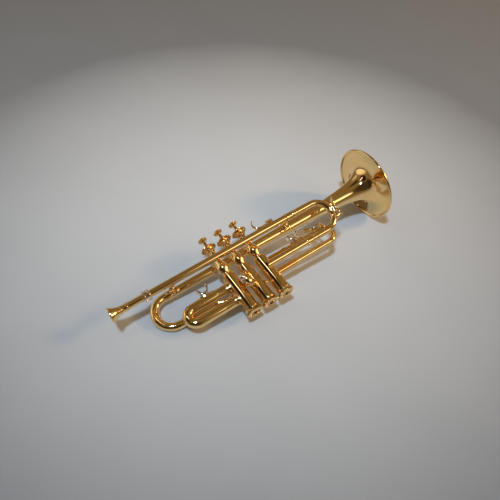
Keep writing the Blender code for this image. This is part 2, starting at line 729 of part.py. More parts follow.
def build_third_slide(casing, casing_space):
    radius, bore, leg = THIRD_RADIUS, 3.9, 3.6
    x = valve_x[2]
    for name, h in zip(("upper", "lower"), THIRD_LEGS):
        pipe = sleeve(f"third_slide_{name}_sleeve", (x, h, THIRD_SIDE),
                      (THIRD_JOINT_X - GAP, h, THIRD_SIDE), radius + 0.4, bore, radius + 1.0,
                      THIRD_JOINT_X - 5.0 - x, THIRD_JOINT_X - GAP - x)
        cut(pipe, casing_space)
        cut(casing, port_cutter(f"third_port_{name}", (x, h, THIRD_SIDE), (x + 20, h, THIRD_SIDE), 3.5))
    u_slide("third_slide_crook", (0, THIRD_LEGS[0], THIRD_SIDE), (0, THIRD_LEGS[1], THIRD_SIDE),
            X_AXIS, THIRD_JOINT_X, THIRD_JOINT_X, THIRD_CENTRE_X, (radius, leg, 2.9),
            THIRD_LEG_INSIDE)
    h = THIRD_LEGS[0]
    space = u_slide_space("third_slide_space", (0, h, THIRD_SIDE), (0, THIRD_LEGS[1], THIRD_SIDE),
                          X_AXIS, THIRD_JOINT_X, THIRD_CENTRE_X, radius)
    finger_saddle("third_slide_finger_saddle", 94.0, h, THIRD_SIDE, radius + 3.6, space)
    water_key("third_water_key", (131.0, h + radius, THIRD_SIDE), -X_AXIS, H_AXIS, space, 2.0)


def build_tuning_slide(casing, casing_space):
    upper = Vector((0, *LEADPIPE))
    lower = Vector((0, *TUNING_LOWER))
    leg = LEADPIPE_RADIUS - TUBE_WALL - GAP
    x = valve_x[2]
    pipe = tube("tuning_lower_sleeve",
                [(x, *TUNING_LOWER), (TUNING_LOWER_JOINT_X - 6.8, *TUNING_LOWER),
                 (TUNING_LOWER_JOINT_X - 6.8, *TUNING_LOWER),
                 (TUNING_LOWER_JOINT_X - GAP, *TUNING_LOWER)],
                [LEADPIPE_RADIUS, LEADPIPE_RADIUS, 6.2, 6.2], LEADPIPE_RADIUS - TUBE_WALL, GOLD)
    cut(pipe, casing_space)
    cut(casing, port_cutter("tuning_port", (x, TUNING_LOWER[0], TUNING_LOWER[1] - 2),
                            (x + 20, TUNING_LOWER[0], TUNING_LOWER[1] - 2), 3.6))
    u_slide("tuning_slide_crook", upper, lower, X_AXIS, TUNING_UPPER_JOINT_X,
            TUNING_LOWER_JOINT_X, TUNING_CENTRE_X, (TUNING_RADIUS, leg, leg - TUBE_WALL),
            TUNING_LEG_INSIDE)
    along = (upper - lower).normalized()
    bend = (upper - lower).length / 2
    middle = (upper + lower) / 2 + X_AXIS * TUNING_CENTRE_X
    space = u_slide_space("tuning_slide_space", upper, lower, X_AXIS, TUNING_LOWER_JOINT_X,
                          TUNING_CENTRE_X, TUNING_RADIUS)
    origin = middle + X_AXIS * (bend + TUNING_RADIUS)
    water_key("main_water_key", origin, along, X_AXIS, space, 3.0)


def build_fixed_tubes(casings, spaces):
    leadpipe()
    mouthpiece_receiver()
    mouthpiece()
    bell()
    bow = bell_bow()
    cut(bow, spaces[0])
    cut(casings[0], port_cutter("tail_port", (valve_x[0], TAIL_PORT_H, -3.0),
                                (valve_x[0] - 16, TAIL_PORT_H, -13.0), 2.6))


def build_braces(spaces):
    lead_h, lead_s = LEADPIPE
    bell_h, bell_s = BELL_AXIS
    lead_space = tube("leadpipe_space", [(-150, *LEADPIPE), (130, *LEADPIPE)],
                      LEADPIPE_RADIUS + GAP, None, None)
    level = (lead_h + bell_h) / 2
    for name, x in (("front_brace", 94.0), ("rear_brace", -105.0)):
        radius = bell_radius(BELL_RIM_X - BELL_BEAD_RADIUS - x) + BELL_WALL / 2
        stem_space = tube(name + "_stem_space", [(x - 12, *BELL_AXIS), (x + 12, *BELL_AXIS)],
                          radius + GAP + 0.1, None, None, steps=28)
        brace(name, x, level, bell_s + radius * 0.8, lead_s - LEADPIPE_RADIUS * 0.8,
              (stem_space, lead_space))
    for number, x in ((1, valve_x[0]), (3, valve_x[2])):
        short_brace(f"leadpipe_brace_{number}", x, lead_h, NECK_RADIUS * 0.8,
                    lead_s - LEADPIPE_RADIUS * 0.7, (spaces[number - 1], lead_space))
    finger_hook()
    lyre_holder(lead_space)


def build_knuckles(casings, spaces):
    """Short tubes that carry the air from one casing to the next."""
    for first, h in ((0, 44.5), (1, 32.0)):
        left, right = valve_x[first], valve_x[first + 1]
        pipe = tube(f"casing_knuckle_{first + 1}", [(left + 6, h, 0), (right - 6, h, 0)],
                    3.0, 2.2, GOLD)
        cut(pipe, spaces[first], spaces[first + 1])
        cut(casings[first], port_cutter(f"knuckle_port_{first}_a", (left, h, 0), (left + 14, h, 0), 2.2))
        cut(casings[first + 1],
            port_cutter(f"knuckle_port_{first}_b", (right, h, 0), (right - 14, h, 0), 2.2))


valve_casings, casing_spaces = build_valves()
build_fixed_tubes(valve_casings, casing_spaces)
build_first_slide(valve_casings[0], casing_spaces[0])
build_second_slide(valve_casings[1], casing_spaces[1])
build_third_slide(valve_casings[2], casing_spaces[2])
build_tuning_slide(valve_casings[2], casing_spaces[2])
build_knuckles(valve_casings, casing_spaces)
build_braces(casing_spaces)
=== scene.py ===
"""Looks of the trumpet: smooth pieces in place of the faceted CAD solids, materials, light, camera.

Every piece is drawn in the instrument's own frame, in millimetres:
    x  along the bell, from the mouthpiece to the bell mouth
    h  up the valves, from the bottom caps to the finger buttons
    s  to the player's right
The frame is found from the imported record, and piece() turns every shape into the record's own
frame, so that it falls on the CAD solid it stands for.
"""

import json
import math

import bmesh
import bpy
from mathutils import Matrix, Vector


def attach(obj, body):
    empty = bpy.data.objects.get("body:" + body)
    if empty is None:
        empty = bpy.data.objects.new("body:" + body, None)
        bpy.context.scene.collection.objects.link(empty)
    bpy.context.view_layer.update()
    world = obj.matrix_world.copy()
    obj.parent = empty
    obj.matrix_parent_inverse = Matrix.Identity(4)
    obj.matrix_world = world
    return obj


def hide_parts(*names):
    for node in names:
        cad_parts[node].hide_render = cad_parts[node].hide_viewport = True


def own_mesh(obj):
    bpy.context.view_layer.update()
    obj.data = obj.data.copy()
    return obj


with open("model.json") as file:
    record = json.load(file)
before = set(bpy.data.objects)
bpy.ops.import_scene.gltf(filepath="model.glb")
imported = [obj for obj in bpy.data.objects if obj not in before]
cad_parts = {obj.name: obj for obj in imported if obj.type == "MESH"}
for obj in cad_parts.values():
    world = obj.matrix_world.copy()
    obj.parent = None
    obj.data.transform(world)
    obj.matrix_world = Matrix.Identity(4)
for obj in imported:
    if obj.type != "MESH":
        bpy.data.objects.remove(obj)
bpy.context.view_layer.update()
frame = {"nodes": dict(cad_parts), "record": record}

MM = 0.001
X_AXIS = Vector((1, 0, 0))
H_AXIS = Vector((0, 1, 0))
S_AXIS = Vector((0, 0, 1))

# ------------------------ sizes, as in the CAD part
VALVE_SPACING = 27.0
VALVE_X = (-VALVE_SPACING, 0.0, VALVE_SPACING)
CASING_RADIUS = 10.3
CASING_WALL = 0.8
CASING_FOOT = 2.3
SHOULDER = 68.5
WAIST = 72.0
WAIST_RADIUS = 5.4
VASE_HEIGHT = 84.0
VASE_RADIUS = 9.4
NECK_BASE = 99.5
NECK_RADIUS = 5.1
NECK_TOP = 121.5
BOTTOM_CAP_RADIUS = 11.5
BOTTOM_CAP_HEIGHT = 10.0
VENT_RADIUS = 3.5
TOP_CAP_RADIUS = 12.3
TOP_CAP_FLANGE = 125.0
CAP_MOUNT_S = 6.0               # the mount on the middle cap lies this far off its axis
PISTON_TOP = 64.3
STEM_RADIUS = 2.2
STEM_HOLE = STEM_RADIUS + 0.4
STEM_TOP_RADIUS = 2.8
BUTTON_BASE = 139.4
BUTTON_TOP = 142.4
BUTTON_RADIUS = 7.3
FELT_RADIUS = 3.9
FELT_FOOT = NECK_TOP - 5.5
SPRING_WIRE = 0.45
SPRING_RADIUS = 3.15
SPRING_TURNS = 7
KNUCKLES = (44.5, 32.0)         # heights of the tubes between the casings

LEADPIPE = (96.4, 19.7)         # (h, s) of a tube along x, here and below
LEADPIPE_RADIUS = 5.4
TUBE_WALL = 0.8
BELL_AXIS = (99.2, -18.0)
BELL_RIM_X = 266.5
BELL_RIM_RADIUS = 61.5
BELL_BEAD_RADIUS = 1.7
BELL_WALL = 0.8
BELL_FLARE = 94.0
BELL_STEM = 1.1
BELL_END_X = -115.5
BOW_CENTRE_X = -119.5
BOW_BEND = 24.7
BOW_RADIUS = 6.3
TAIL_PORT_H = 41.8
TAIL_RADIUS = 3.4
TAIL_TURN_X = -66.0
BRACE_X = (94.0, -105.0)

FERRULE = 14.0
TUNING_LOWER = (49.8, 8.9)
TUNING_CENTRE_X = 139.0
TUNING_RADIUS = 5.2
TUNING_UPPER_JOINT_X = 107.0
TUNING_LOWER_JOINT_X = 112.7
TUNING_LEG_INSIDE = 45.0
TUNING_LEG_RADIUS = 4.3

FIRST_LEGS = (53.2, 30.4)
FIRST_CENTRE_X = -98.2
FIRST_JOINT_X = -58.0
FIRST_RADIUS = 7.4
FIRST_LEG_INSIDE = 18.0
THUMB_SADDLE_X = -70.0

SECOND_LEGS = (53.2, 35.8)
SECOND_ANGLE = 35.5
SECOND_JOINT = 16.0
SECOND_RADIUS = 5.5
SECOND_LEG_INSIDE = 5.0

THIRD_LEGS = (62.0, 38.0)
THIRD_SIDE = -6.0
THIRD_CENTRE_X = 138.0
THIRD_JOINT_X = 72.0
THIRD_RADIUS = 4.4
THIRD_LEG_INSIDE = 34.0
FINGER_SADDLE_X = 94.0
THIRD_KEY_X = 131.0

MOUTHPIECE_RIM_X = -197.5
RECEIVER_X = (-148.0, -137.0)
SHANK_INSIDE = 19.0
LYRE_X = 68.0

KEY_ARM = 12.0                  # from a water key's pin to its nipple
KEY_PIN_HEIGHT = 3.9
KEY_EARS = 7.4                  # over both ears

# ------------------------ fineness
TURN_STEPS = 72
PIPE_SIDES = 40
BEND_STEPS = 26
SHARP_ANGLE = 42.0              # degrees; a steeper edge is shaded as a crease
BEVEL_ANGLE = 25.0              # and a steeper edge of a plate is rounded


def instrument_frame(record):
    """The instrument's axes from its joints, and its origin from the middle cap's mount."""
    joints = {joint["name"]: joint for joint in record["behaviour"]["joints"]}
    mounts = {mount["name"]: mount for mount in record["mounts"]}
    x_axis = Vector(joints["tuning_slide_pull"]["axis"])
    h_axis = -Vector(joints["valve_1_press"]["axis"])
    s_axis = x_axis.cross(h_axis)
    result = Matrix((x_axis, h_axis, s_axis)).transposed().to_4x4()
    cap_end = Vector(mounts["bottom_cap_end"]["pos_m"])
    result.translation = cap_end - s_axis * CAP_MOUNT_S * MM
    return result


INSTRUMENT = instrument_frame(frame["record"])


# ------------------------ curves
def soften(points, radius, steps=4, closed=False):
    """Round the corners of a polyline of 2-D points, by less where an edge is short."""
    points = [Vector(point) for point in points]
    count = len(points)
    result = []
    for k, corner in enumerate(points):
        if not closed and k in (0, count - 1):
            result.append(corner)
            continue
        before = points[k - 1]
        after = points[(k + 1) % count]
        arriving, leaving = corner - before, after - corner
        if arriving.length < 1e-6 or leaving.length < 1e-6:
            result.append(corner)
            continue
        reach = min(radius, arriving.length * 0.45, leaving.length * 0.45)
        start = corner - arriving.normalized() * reach
        end = corner + leaving.normalized() * reach
        for j in range(steps + 1):
            t = j / steps
            result.append(start * (1 - t) ** 2 + corner * 2 * t * (1 - t) + end * t ** 2)
    return result


def spline(points, per_span):
    """A smooth curve through every point, with this many steps between two of them."""
    points = [Vector(point) for point in points]
    ends = [points[0] * 2 - points[1]] + points + [points[-1] * 2 - points[-2]]
    result = []
    for k in range(1, len(ends) - 2):
        a, b, c, d = ends[k - 1:k + 3]
        for j in range(per_span):
            t = j / per_span
            result.append(0.5 * (2 * b + (c - a) * t + (2 * a - 5 * b + 4 * c - d) * t ** 2
                                 + (3 * b - a - 3 * c + d) * t ** 3))
    result.append(points[-1])
    return result


def route(corners, radii):
    """A path of straight runs joined by round bends."""
    corners = [Vector(corner) for corner in corners]
    path = [corners[0]]
    for before, corner, after, radius in zip(corners, corners[1:], corners[2:], radii):
        arriving = (corner - before).normalized()
        leaving = (after - corner).normalized()
        turn = arriving.angle(leaving)
        reach = radius * math.tan(turn / 2)
        start = corner - arriving * reach
        inward = (leaving - arriving * arriving.dot(leaving)).normalized()
        centre = start + inward * radius
        for k in range(BEND_STEPS + 1):
            angle = turn * k / BEND_STEPS
            point = centre + radius * (math.sin(angle) * arriving - math.cos(angle) * inward)
            if (point - path[-1]).length > 1e-4:
                path.append(point)
    path.append(corners[-1])
    return path


def square_to(direction):
    """Two unit vectors at right angles to a direction and to each other."""
    helper = S_AXIS if abs(direction.dot(S_AXIS)) < 0.9 else H_AXIS
    across = (helper - direction * helper.dot(direction)).normalized()
    return across, direction.cross(across)


# ------------------------ shapes: (points, faces) in mm
def skin(rings, closed):
    """Faces between equal rings; a closed skin runs back to its first ring."""
    count = len(rings[0])
    points = [point for ring in rings for point in ring]
    faces = []
    last = len(rings) if closed else len(rings) - 1
    for row in range(last):
        low, high = row * count, (row + 1) % len(rings) * count
        for k in range(count):
            after = (k + 1) % count
            faces.append((low + k, low + after, high + after, high + k))
    if not closed:
        faces.append(tuple(range(count)))
        faces.append(tuple(range(len(points) - count, len(points))))
    return points, faces


def circle(centre, across, upward, radii):
    """Points round a centre, one for each radius."""
    count = len(radii)
    return [centre + radius * (across * math.cos(2 * math.pi * k / count)
                               + upward * math.sin(2 * math.pi * k / count))
            for k, radius in enumerate(radii)]


def turned(profile, base, axis, closed=False, steps=TURN_STEPS, wave=None):
    """Turn a profile of (distance along the axis, radius). wave(along, angle) adds to the radius."""
    base = Vector(base)
    across, upward = square_to(axis)
    rings = []
    for along, radius in profile:
        radii = [max(radius + (wave(along, 2 * math.pi * k / steps) if wave else 0.0), 0.01)
                 for k in range(steps)]
        rings.append(circle(base + axis * along, across, upward, radii))
    return skin(rings, closed)


def swept(path, radii, sides):
    """Round rings square to a path, one at each of its points."""
    rings = []
    across = None
    for k, point in enumerate(path):
        before = path[max(k - 1, 0)]
        after = path[min(k + 1, len(path) - 1)]
        direction = ((point - before).normalized() + (after - point).normalized()).normalized()
        if across is None:
            across, _ = square_to(direction)
        across = (across - direction * across.dot(direction)).normalized()
        rings.append(circle(point, across, direction.cross(across), [radii[k]] * sides))
    return rings


def pipe(path, radius, bore=None, sides=PIPE_SIDES, lip=0.25):
    """A pipe along a path with softly rounded ends; without a bore it is a solid rod."""
    path = [Vector(point) for point in path]
    first, last = path[0], path[-1]
    ahead = (path[1] - first).normalized()
    behind = (path[-2] - last).normalized()
    line = [first, first + ahead * lip * 0.3, first + ahead * lip] + path[1:-1]
    line += [last + behind * lip, last + behind * lip * 0.3, last]
    radii = [radius] * len(line)
    radii[0] = radii[-1] = radius - lip
    radii[1] = radii[-2] = radius - lip * 0.3
    if bore is None:
        return skin(swept(line, radii, sides), False)
    return skin(swept(line, radii, sides) + swept(path, [bore] * len(path), sides)[::-1], True)


def coped_pipe(centre, direction, length, profile, bore):
    """A straight pipe whose near end is shaped to the wall of the casing that it starts in.

    profile holds (distance, radius) from the near end; the first points follow the wall
    and the pipe is square by its far end.
    """
    centre = Vector(centre)
    heading = Vector((direction.x, direction.z))
    rings = []
    for distance, radius in profile + [(length, bore), (0.0, bore)]:
        follow = max(0.0, 1.0 - distance / length)
        row = []
        for point in circle(centre, *square_to(direction), [radius] * PIPE_SIDES):
            flat = Vector((point.x - centre.x, point.z))
            along = flat.dot(heading)
            beyond = flat.length_squared - along * along
            reach = math.sqrt(max(CASING_RADIUS ** 2 - beyond, 0.0)) - along
            start = reach * follow + CASING_RADIUS * (1 - follow)
            row.append(point + direction * (start + distance))
        rings.append(row)
    return skin(rings, True)


def strap(path, width_axis, widths, thickness):
    """A flat bar with rounded edges along a path, with a width for each of its points."""
    rings = []
    for k, point in enumerate(path):
        before, after = path[max(k - 1, 0)], path[min(k + 1, len(path) - 1)]
        direction = (after - before).normalized()
        normal = width_axis.cross(direction).normalized()
        half, deep = widths[k] / 2, thickness / 2
        outline = [(-half, -deep), (half, -deep), (half, deep), (-half, deep)]
        outline = soften(outline, 0.35 * thickness, 3, closed=True)
        rings.append([point + width_axis * u + normal * v for u, v in outline])
    return skin(rings, False)


def round_ended(count, width, share):
    """Widths for a strap that rounds off over this share of its length at each end."""
    widths = []
    for k in range(count):
        t = k / (count - 1)
        edge = min(t, 1 - t) / share
        widths.append(width * (math.sqrt(max(1 - (1 - edge) ** 2, 0.03)) if edge < 1 else 1.0))
    return widths


def plate(outline, origin, axes, low, high, bevel):
    """An outline in the first two axes, thick from low to high along the third, with soft edges."""
    first, second, third = axes
    rows = [[Vector(origin) + first * u + second * v + third * level for u, v in outline]
            for level in (low, high)]
    points, faces = skin(rows, False)
    shape = bmesh.new()
    corners = [shape.verts.new(point) for point in points]
    for face in faces:
        shape.faces.new([corners[index] for index in face])
    bmesh.ops.recalc_face_normals(shape, faces=shape.faces[:])
    sharp = [edge for edge in shape.edges
             if edge.calc_face_angle(0.0) > math.radians(BEVEL_ANGLE)]
    bmesh.ops.bevel(shape, geom=sharp, offset=bevel, offset_type="OFFSET", segments=3,
                    profile=0.6, affect="EDGES", clamp_overlap=True)
    shape.verts.index_update()
    points = [vertex.co.copy() for vertex in shape.verts]
    faces = [tuple(vertex.index for vertex in face.verts) for face in shape.faces]
    shape.free()
    return points, faces


def box_outline(low, high):
    """A rectangle from its two opposite corners."""
    return [(low[0], low[1]), (high[0], low[1]), (high[0], high[1]), (low[0], high[1])]


# ------------------------ shader nodes
def add_node(tree, kind, settings=None, **inputs):
    node = tree.nodes.new(kind)
    for key, value in (settings or {}).items():
        setattr(node, key, value)
    for key, value in inputs.items():
        node.inputs[key.replace("_", " ")].default_value = value
    return node


def pattern(tree, where, kind, **inputs):
    """A texture laid out by the given coordinates."""
    node = add_node(tree, kind, **inputs)
    tree.links.new(where, node.inputs["Vector"])
    return node


def remap(tree, value, low, high, to_low, to_high, shape="LINEAR"):
    node = add_node(tree, "ShaderNodeMapRange", {"interpolation_type": shape}, From_Min=low,
                    From_Max=high, To_Min=to_low, To_Max=to_high)
    tree.links.new(value, node.inputs["Value"])
    return node.outputs["Result"]


def total(tree, first, second):
    node = add_node(tree, "ShaderNodeMath", {"operation": "ADD"})
    tree.links.new(first, node.inputs[0])
    tree.links.new(second, node.inputs[1])
    return node.outputs["Value"]


def blend_colors(tree, factor, first, second):
    """Go from one colour to the other; each is a tuple or another node's output."""
    node = add_node(tree, "ShaderNodeMix", {"data_type": "RGBA"})
    tree.links.new(factor, node.inputs["Factor"])
    for socket, value in ((6, first), (7, second)):
        if isinstance(value, tuple):
            node.inputs[socket].default_value = (*value, 1.0)
        else:
            tree.links.new(value, node.inputs[socket])
    return node.outputs[2]


def add_bump(tree, shader, height, strength, distance):
    bump = add_node(tree, "ShaderNodeBump", Strength=strength, Distance=distance)
    tree.links.new(height, bump.inputs["Height"])
    tree.links.new(bump.outputs["Normal"], shader.inputs["Normal"])


def millimetres(tree, stretch=(1.0, 1.0, 1.0)):
    """Coordinates in millimetres for a pattern; x runs almost along the bell."""
    place = add_node(tree, "ShaderNodeTexCoord")
    scaled = pattern(tree, place.outputs["Object"], "ShaderNodeMapping")
    scaled.inputs["Scale"].default_value = [value / MM for value in stretch]
    return scaled.outputs["Vector"]


# ------------------------ materials
def start_material(name, **inputs):
    material = bpy.data.materials.new(name)
    material.use_nodes = True
    tree = material.node_tree
    shader = tree.nodes["Principled BSDF"]
    for key, value in inputs.items():
        shader.inputs[key.replace("_", " ")].default_value = value
    return material, tree, shader


def plated(name, color, deep, polish, grain=0.02):
    """Polished plate: smudges, fine polishing lines, and painted shade in hollows, where creases
    take the deeper colour that smudges also use.
    """
    material, tree, shader = start_material(name, Metallic=1.0)
    smudge = pattern(tree, millimetres(tree), "ShaderNodeTexNoise", Scale=0.07, Detail=5.0,
                     Roughness=0.6).outputs["Fac"]
    lines = pattern(tree, millimetres(tree, (0.25, 5.0, 5.0)), "ShaderNodeTexNoise", Scale=1.0,
                    Detail=3.0, Roughness=0.7).outputs["Fac"]
    pointiness = add_node(tree, "ShaderNodeNewGeometry").outputs["Pointiness"]
    # painted shade: hollows and creases, found by pointiness, are painted in the deeper colour
    painted_hollow_shade = remap(tree, pointiness, 0.47, 0.5, 0.7, 0.0)
    cloud = remap(tree, smudge, 0.35, 0.7, 0.0, 0.35)
    tint = blend_colors(tree, total(tree, painted_hollow_shade, cloud), color, deep)
    tree.links.new(tint, shader.inputs["Base Color"])
    rough = total(tree, remap(tree, smudge, 0.3, 0.75, polish, polish + 0.035),
                  remap(tree, lines, 0.3, 0.8, 0.0, grain))
    tree.links.new(rough, shader.inputs["Roughness"])
    add_bump(tree, shader, lines, 0.05, 0.00002)
    return material


def felt_material():
    material, tree, shader = start_material("felt_look", Roughness=0.95, Sheen_Weight=0.4)
    fibres = pattern(tree, millimetres(tree), "ShaderNodeTexNoise", Scale=3.0, Detail=8.0,
                     Roughness=0.8).outputs["Fac"]
    tint = blend_colors(tree, fibres, (0.62, 0.57, 0.48), (0.86, 0.83, 0.76))
    tree.links.new(tint, shader.inputs["Base Color"])
    add_bump(tree, shader, fibres, 0.8, 0.0002)
    return material


def cork_material():
    material, tree, shader = start_material("cork_look", Roughness=0.85)
    cells = pattern(tree, millimetres(tree), "ShaderNodeTexVoronoi",
                    Scale=1.6).outputs["Distance"]
    specks = remap(tree, cells, 0.1, 0.7, 0.0, 1.0)
    tint = blend_colors(tree, specks, (0.24, 0.13, 0.06), (0.62, 0.43, 0.25))
    tree.links.new(tint, shader.inputs["Base Color"])
    add_bump(tree, shader, cells, 0.5, 0.0002)
    return material


# the second colour of each is the painted shade in hollows, and also the tone of smudges
GOLD = plated("gold_look", (0.95, 0.68, 0.31), (0.84, 0.46, 0.14), 0.035)
PALE_GOLD = plated("pale_gold_look", (0.97, 0.84, 0.68), (0.84, 0.62, 0.40), 0.03)
NICKEL = plated("nickel_look", (0.70, 0.67, 0.62), (0.42, 0.38, 0.32), 0.22, 0.12)
STEEL = plated("steel_look", (0.55, 0.55, 0.57), (0.30, 0.29, 0.28), 0.25, 0.1)
FELT = felt_material()
CORK = cork_material()


# ------------------------ objects
def place_object(name, data):
    made = bpy.data.objects.new(name, data)
    bpy.context.scene.collection.objects.link(made)
    return made


def piece(name, node, shapes, material=GOLD, body="instrument"):
    """Merge shapes into one smooth object that rides on a body and stands for a CAD node."""
    points, faces = [], []
    for shape_points, shape_faces in shapes:
        offset = len(points)
        points.extend(INSTRUMENT @ (point * MM) for point in shape_points)
        faces.extend(tuple(index + offset for index in face) for face in shape_faces)
    mesh = bpy.data.meshes.new(name)
    mesh.from_pydata([tuple(point) for point in points], [], faces)
    fixer = bmesh.new()
    fixer.from_mesh(mesh)
    bmesh.ops.recalc_face_normals(fixer, faces=fixer.faces[:])
    fixer.to_mesh(mesh)
    fixer.free()
    mesh.shade_smooth()
    mesh.set_sharp_from_angle(angle=math.radians(SHARP_ANGLE))
    mesh.materials.append(material)
    made = place_object(name, mesh)
    made.modifiers.new("even_shading", "WEIGHTED_NORMAL").keep_sharp = True
    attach(made, body)
    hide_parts(node)
    return made


# ------------------------ valves
def knurl(low, high, count, depth):
    """A band of upright ridges between two levels, for a cap's grip."""
    def wave(along, angle):
        if not low < along < high:
            return 0.0
        fade = min(1.0, (along - low) / 0.5, (high - along) / 0.5)
        return depth * fade * (abs(math.cos(angle * count / 2)) - 0.6)
    return wave


def casing_profile():
    """Lower casing, waist with its ring, vase and neck, and back down the inside."""
    lower = soften([
        (CASING_FOOT + 7.5, CASING_RADIUS), (SHOULDER, CASING_RADIUS),
        (SHOULDER + 1.6, CASING_RADIUS - 1.4), (WAIST - 1.0, WAIST_RADIUS + 1.4),
        (WAIST - 0.5, WAIST_RADIUS), (WAIST, WAIST_RADIUS),
        (WAIST + 0.1, WAIST_RADIUS + 1.0), (WAIST + 1.6, WAIST_RADIUS + 1.0),
        (WAIST + 1.8, WAIST_RADIUS - 0.2),
    ], 0.9)
    vase = spline([
        (WAIST + 1.8, WAIST_RADIUS - 0.2), (WAIST + 3.4, WAIST_RADIUS + 0.3),
        (WAIST + 7.4, VASE_RADIUS - 1.4), (VASE_HEIGHT - 0.6, VASE_RADIUS),
        (VASE_HEIGHT + 4.0, VASE_RADIUS - 0.5), (VASE_HEIGHT + 8.4, VASE_RADIUS - 2.2),
        (NECK_BASE - 3.4, NECK_RADIUS + 0.8), (NECK_BASE - 0.6, NECK_RADIUS + 0.05),
    ], 10)
    neck = [
        (NECK_BASE, NECK_RADIUS), (NECK_TOP, NECK_RADIUS),
        (NECK_TOP, NECK_RADIUS - CASING_WALL), (NECK_BASE - 1.0, NECK_RADIUS - CASING_WALL),
    ]
    inside = [
        (VASE_HEIGHT, VASE_RADIUS - 1.2), (WAIST + 9.0, WAIST_RADIUS - 0.7),
        (WAIST + 2.0, WAIST_RADIUS - 1.3), (WAIST + 1.0, STEM_HOLE),
        (SHOULDER + 0.3, STEM_HOLE), (SHOULDER - 1.5, CASING_RADIUS - CASING_WALL),
        (CASING_FOOT, CASING_RADIUS - CASING_WALL), (CASING_FOOT, CASING_RADIUS - 0.4),
        (CASING_FOOT + 7.5, CASING_RADIUS - 0.4),
    ]
    return lower + vase[1:] + neck + inside


def bottom_cap_profile():
    """A flat end with a ring groove round its vent, and a thick edge to be ridged."""
    rim = BOTTOM_CAP_RADIUS + 0.45
    outside = soften([
        (1.8, VENT_RADIUS), (0.3, VENT_RADIUS), (0.0, 3.9), (0.0, 4.7), (1.5, 5.1), (1.6, 5.9),
        (1.5, 6.9), (0.3, 7.5), (-0.1, 8.1), (-0.1, 9.2), (0.9, rim - 0.5), (1.5, rim), (4.6, rim),
        (5.2, BOTTOM_CAP_RADIUS - 0.5), (6.6, BOTTOM_CAP_RADIUS - 0.5),
        (7.0, BOTTOM_CAP_RADIUS), (BOTTOM_CAP_HEIGHT, BOTTOM_CAP_RADIUS),
        (BOTTOM_CAP_HEIGHT, CASING_RADIUS - 0.1),
    ], 0.35)
    ridged = []
    for before, after in zip(outside, outside[1:]):
        ridged.append(before)
        if abs(after[0] - before[0]) > 1.2:
            ridged += [before.lerp(after, share) for share in (0.12, 0.3, 0.5, 0.7, 0.88)]
    ridged.append(outside[-1])
    return ridged + [(2.0, CASING_RADIUS - 0.1), (2.0, VENT_RADIUS)]


def top_cap_profile():
    """A collar over the neck that opens into a flange."""
    flange = TOP_CAP_FLANGE
    outside = soften([
        (NECK_TOP - 5.0, NECK_RADIUS + 0.3), (NECK_TOP - 5.0, 6.6), (NECK_TOP - 3.6, 6.6),
        (NECK_TOP - 3.2, 6.0), (flange - 4.0, 6.0), (flange - 3.4, 6.8), (flange - 2.5, 7.2),
        (flange - 2.1, TOP_CAP_RADIUS - 0.8), (flange - 1.9, TOP_CAP_RADIUS),
        (flange - 0.6, TOP_CAP_RADIUS), (flange - 0.1, TOP_CAP_RADIUS - 0.9),
        (flange - 0.3, 6.4), (flange + 0.1, 5.6), (flange + 0.8, 5.0),
        (flange + 0.8, STEM_TOP_RADIUS + 0.4),
    ], 0.4)
    inside = [(NECK_TOP + 0.3, STEM_TOP_RADIUS + 0.4), (NECK_TOP + 0.3, NECK_RADIUS + 0.3)]
    return outside + inside


def upright(profile, x, closed=False, steps=TURN_STEPS, wave=None):
    """Turn a profile about the valve axis at x."""
    return turned(profile, (x, 0, 0), H_AXIS, closed, steps, wave)


def valve_pieces(number, x):
    piece(f"casing_{number}", f"valve_casing_{number}", [upright(casing_profile(), x, True, 96)])
    grip = knurl(-0.4, 5.2, 26, 1.1)
    piece(f"lower_cap_{number}", f"bottom_cap_{number}",
          [upright(bottom_cap_profile(), x, True, 240, grip)])
    grip = knurl(TOP_CAP_FLANGE - 2.1, TOP_CAP_FLANGE - 0.3, 56, 0.35)
    piece(f"upper_cap_{number}", f"top_cap_{number}",
          [upright(top_cap_profile(), x, True, 224, grip)])
    button_pieces(number, x)
    spring_piece(number, x)
    frame["nodes"][f"piston_{number}"].data.materials[0] = NICKEL


def button_pieces(number, x):
    """Button, stem and felt, which go down with the valve."""
    body = f"valve_{number}"
    base, top = BUTTON_BASE, BUTTON_TOP
    button = soften([
        (base + 1.6, 1.75), (base, 1.75), (base, 3.6), (base + 0.5, 4.2), (base + 0.6, 5.2),
        (base + 1.0, BUTTON_RADIUS - 0.4), (base + 1.5, BUTTON_RADIUS),
        (base + 2.3, BUTTON_RADIUS), (top, BUTTON_RADIUS - 0.9),
        (top - 0.15, BUTTON_RADIUS - 1.6), (top - 0.6, 2.6), (top - 0.65, 0.05),
    ], 0.4)
    piece(f"button_{number}", f"finger_button_{number}", [upright(button, x)], GOLD, body)
    stem = soften([
        (PISTON_TOP - 4.5, 0.02), (PISTON_TOP - 4.5, 1.5), (PISTON_TOP + 0.3, 1.5),
        (PISTON_TOP + 0.3, STEM_RADIUS), (FELT_FOOT, STEM_RADIUS), (FELT_FOOT, FELT_RADIUS),
        (FELT_FOOT + 2.0, FELT_RADIUS), (FELT_FOOT + 2.0, STEM_TOP_RADIUS),
        (base - 3.2, STEM_TOP_RADIUS), (base - 3.0, STEM_TOP_RADIUS - 0.3),
        (base - 2.4, STEM_TOP_RADIUS - 0.3), (base - 2.2, STEM_TOP_RADIUS),
        (base - 0.3, STEM_TOP_RADIUS), (base - 0.3, 1.4), (base + 1.2, 1.4), (base + 1.2, 0.02),
    ], 0.25)
    piece(f"stem_{number}", f"valve_stem_{number}", [upright(stem, x, steps=48)], GOLD, body)
    low, inner = FELT_FOOT + 2.3, STEM_TOP_RADIUS + 0.2
    felt = soften([(low, inner), (low, FELT_RADIUS), (NECK_TOP, FELT_RADIUS), (NECK_TOP, inner)],
                  0.4, closed=True)
    piece(f"felt_{number}", f"stem_felt_{number}", [upright(felt, x, True, 40)], FELT, body)


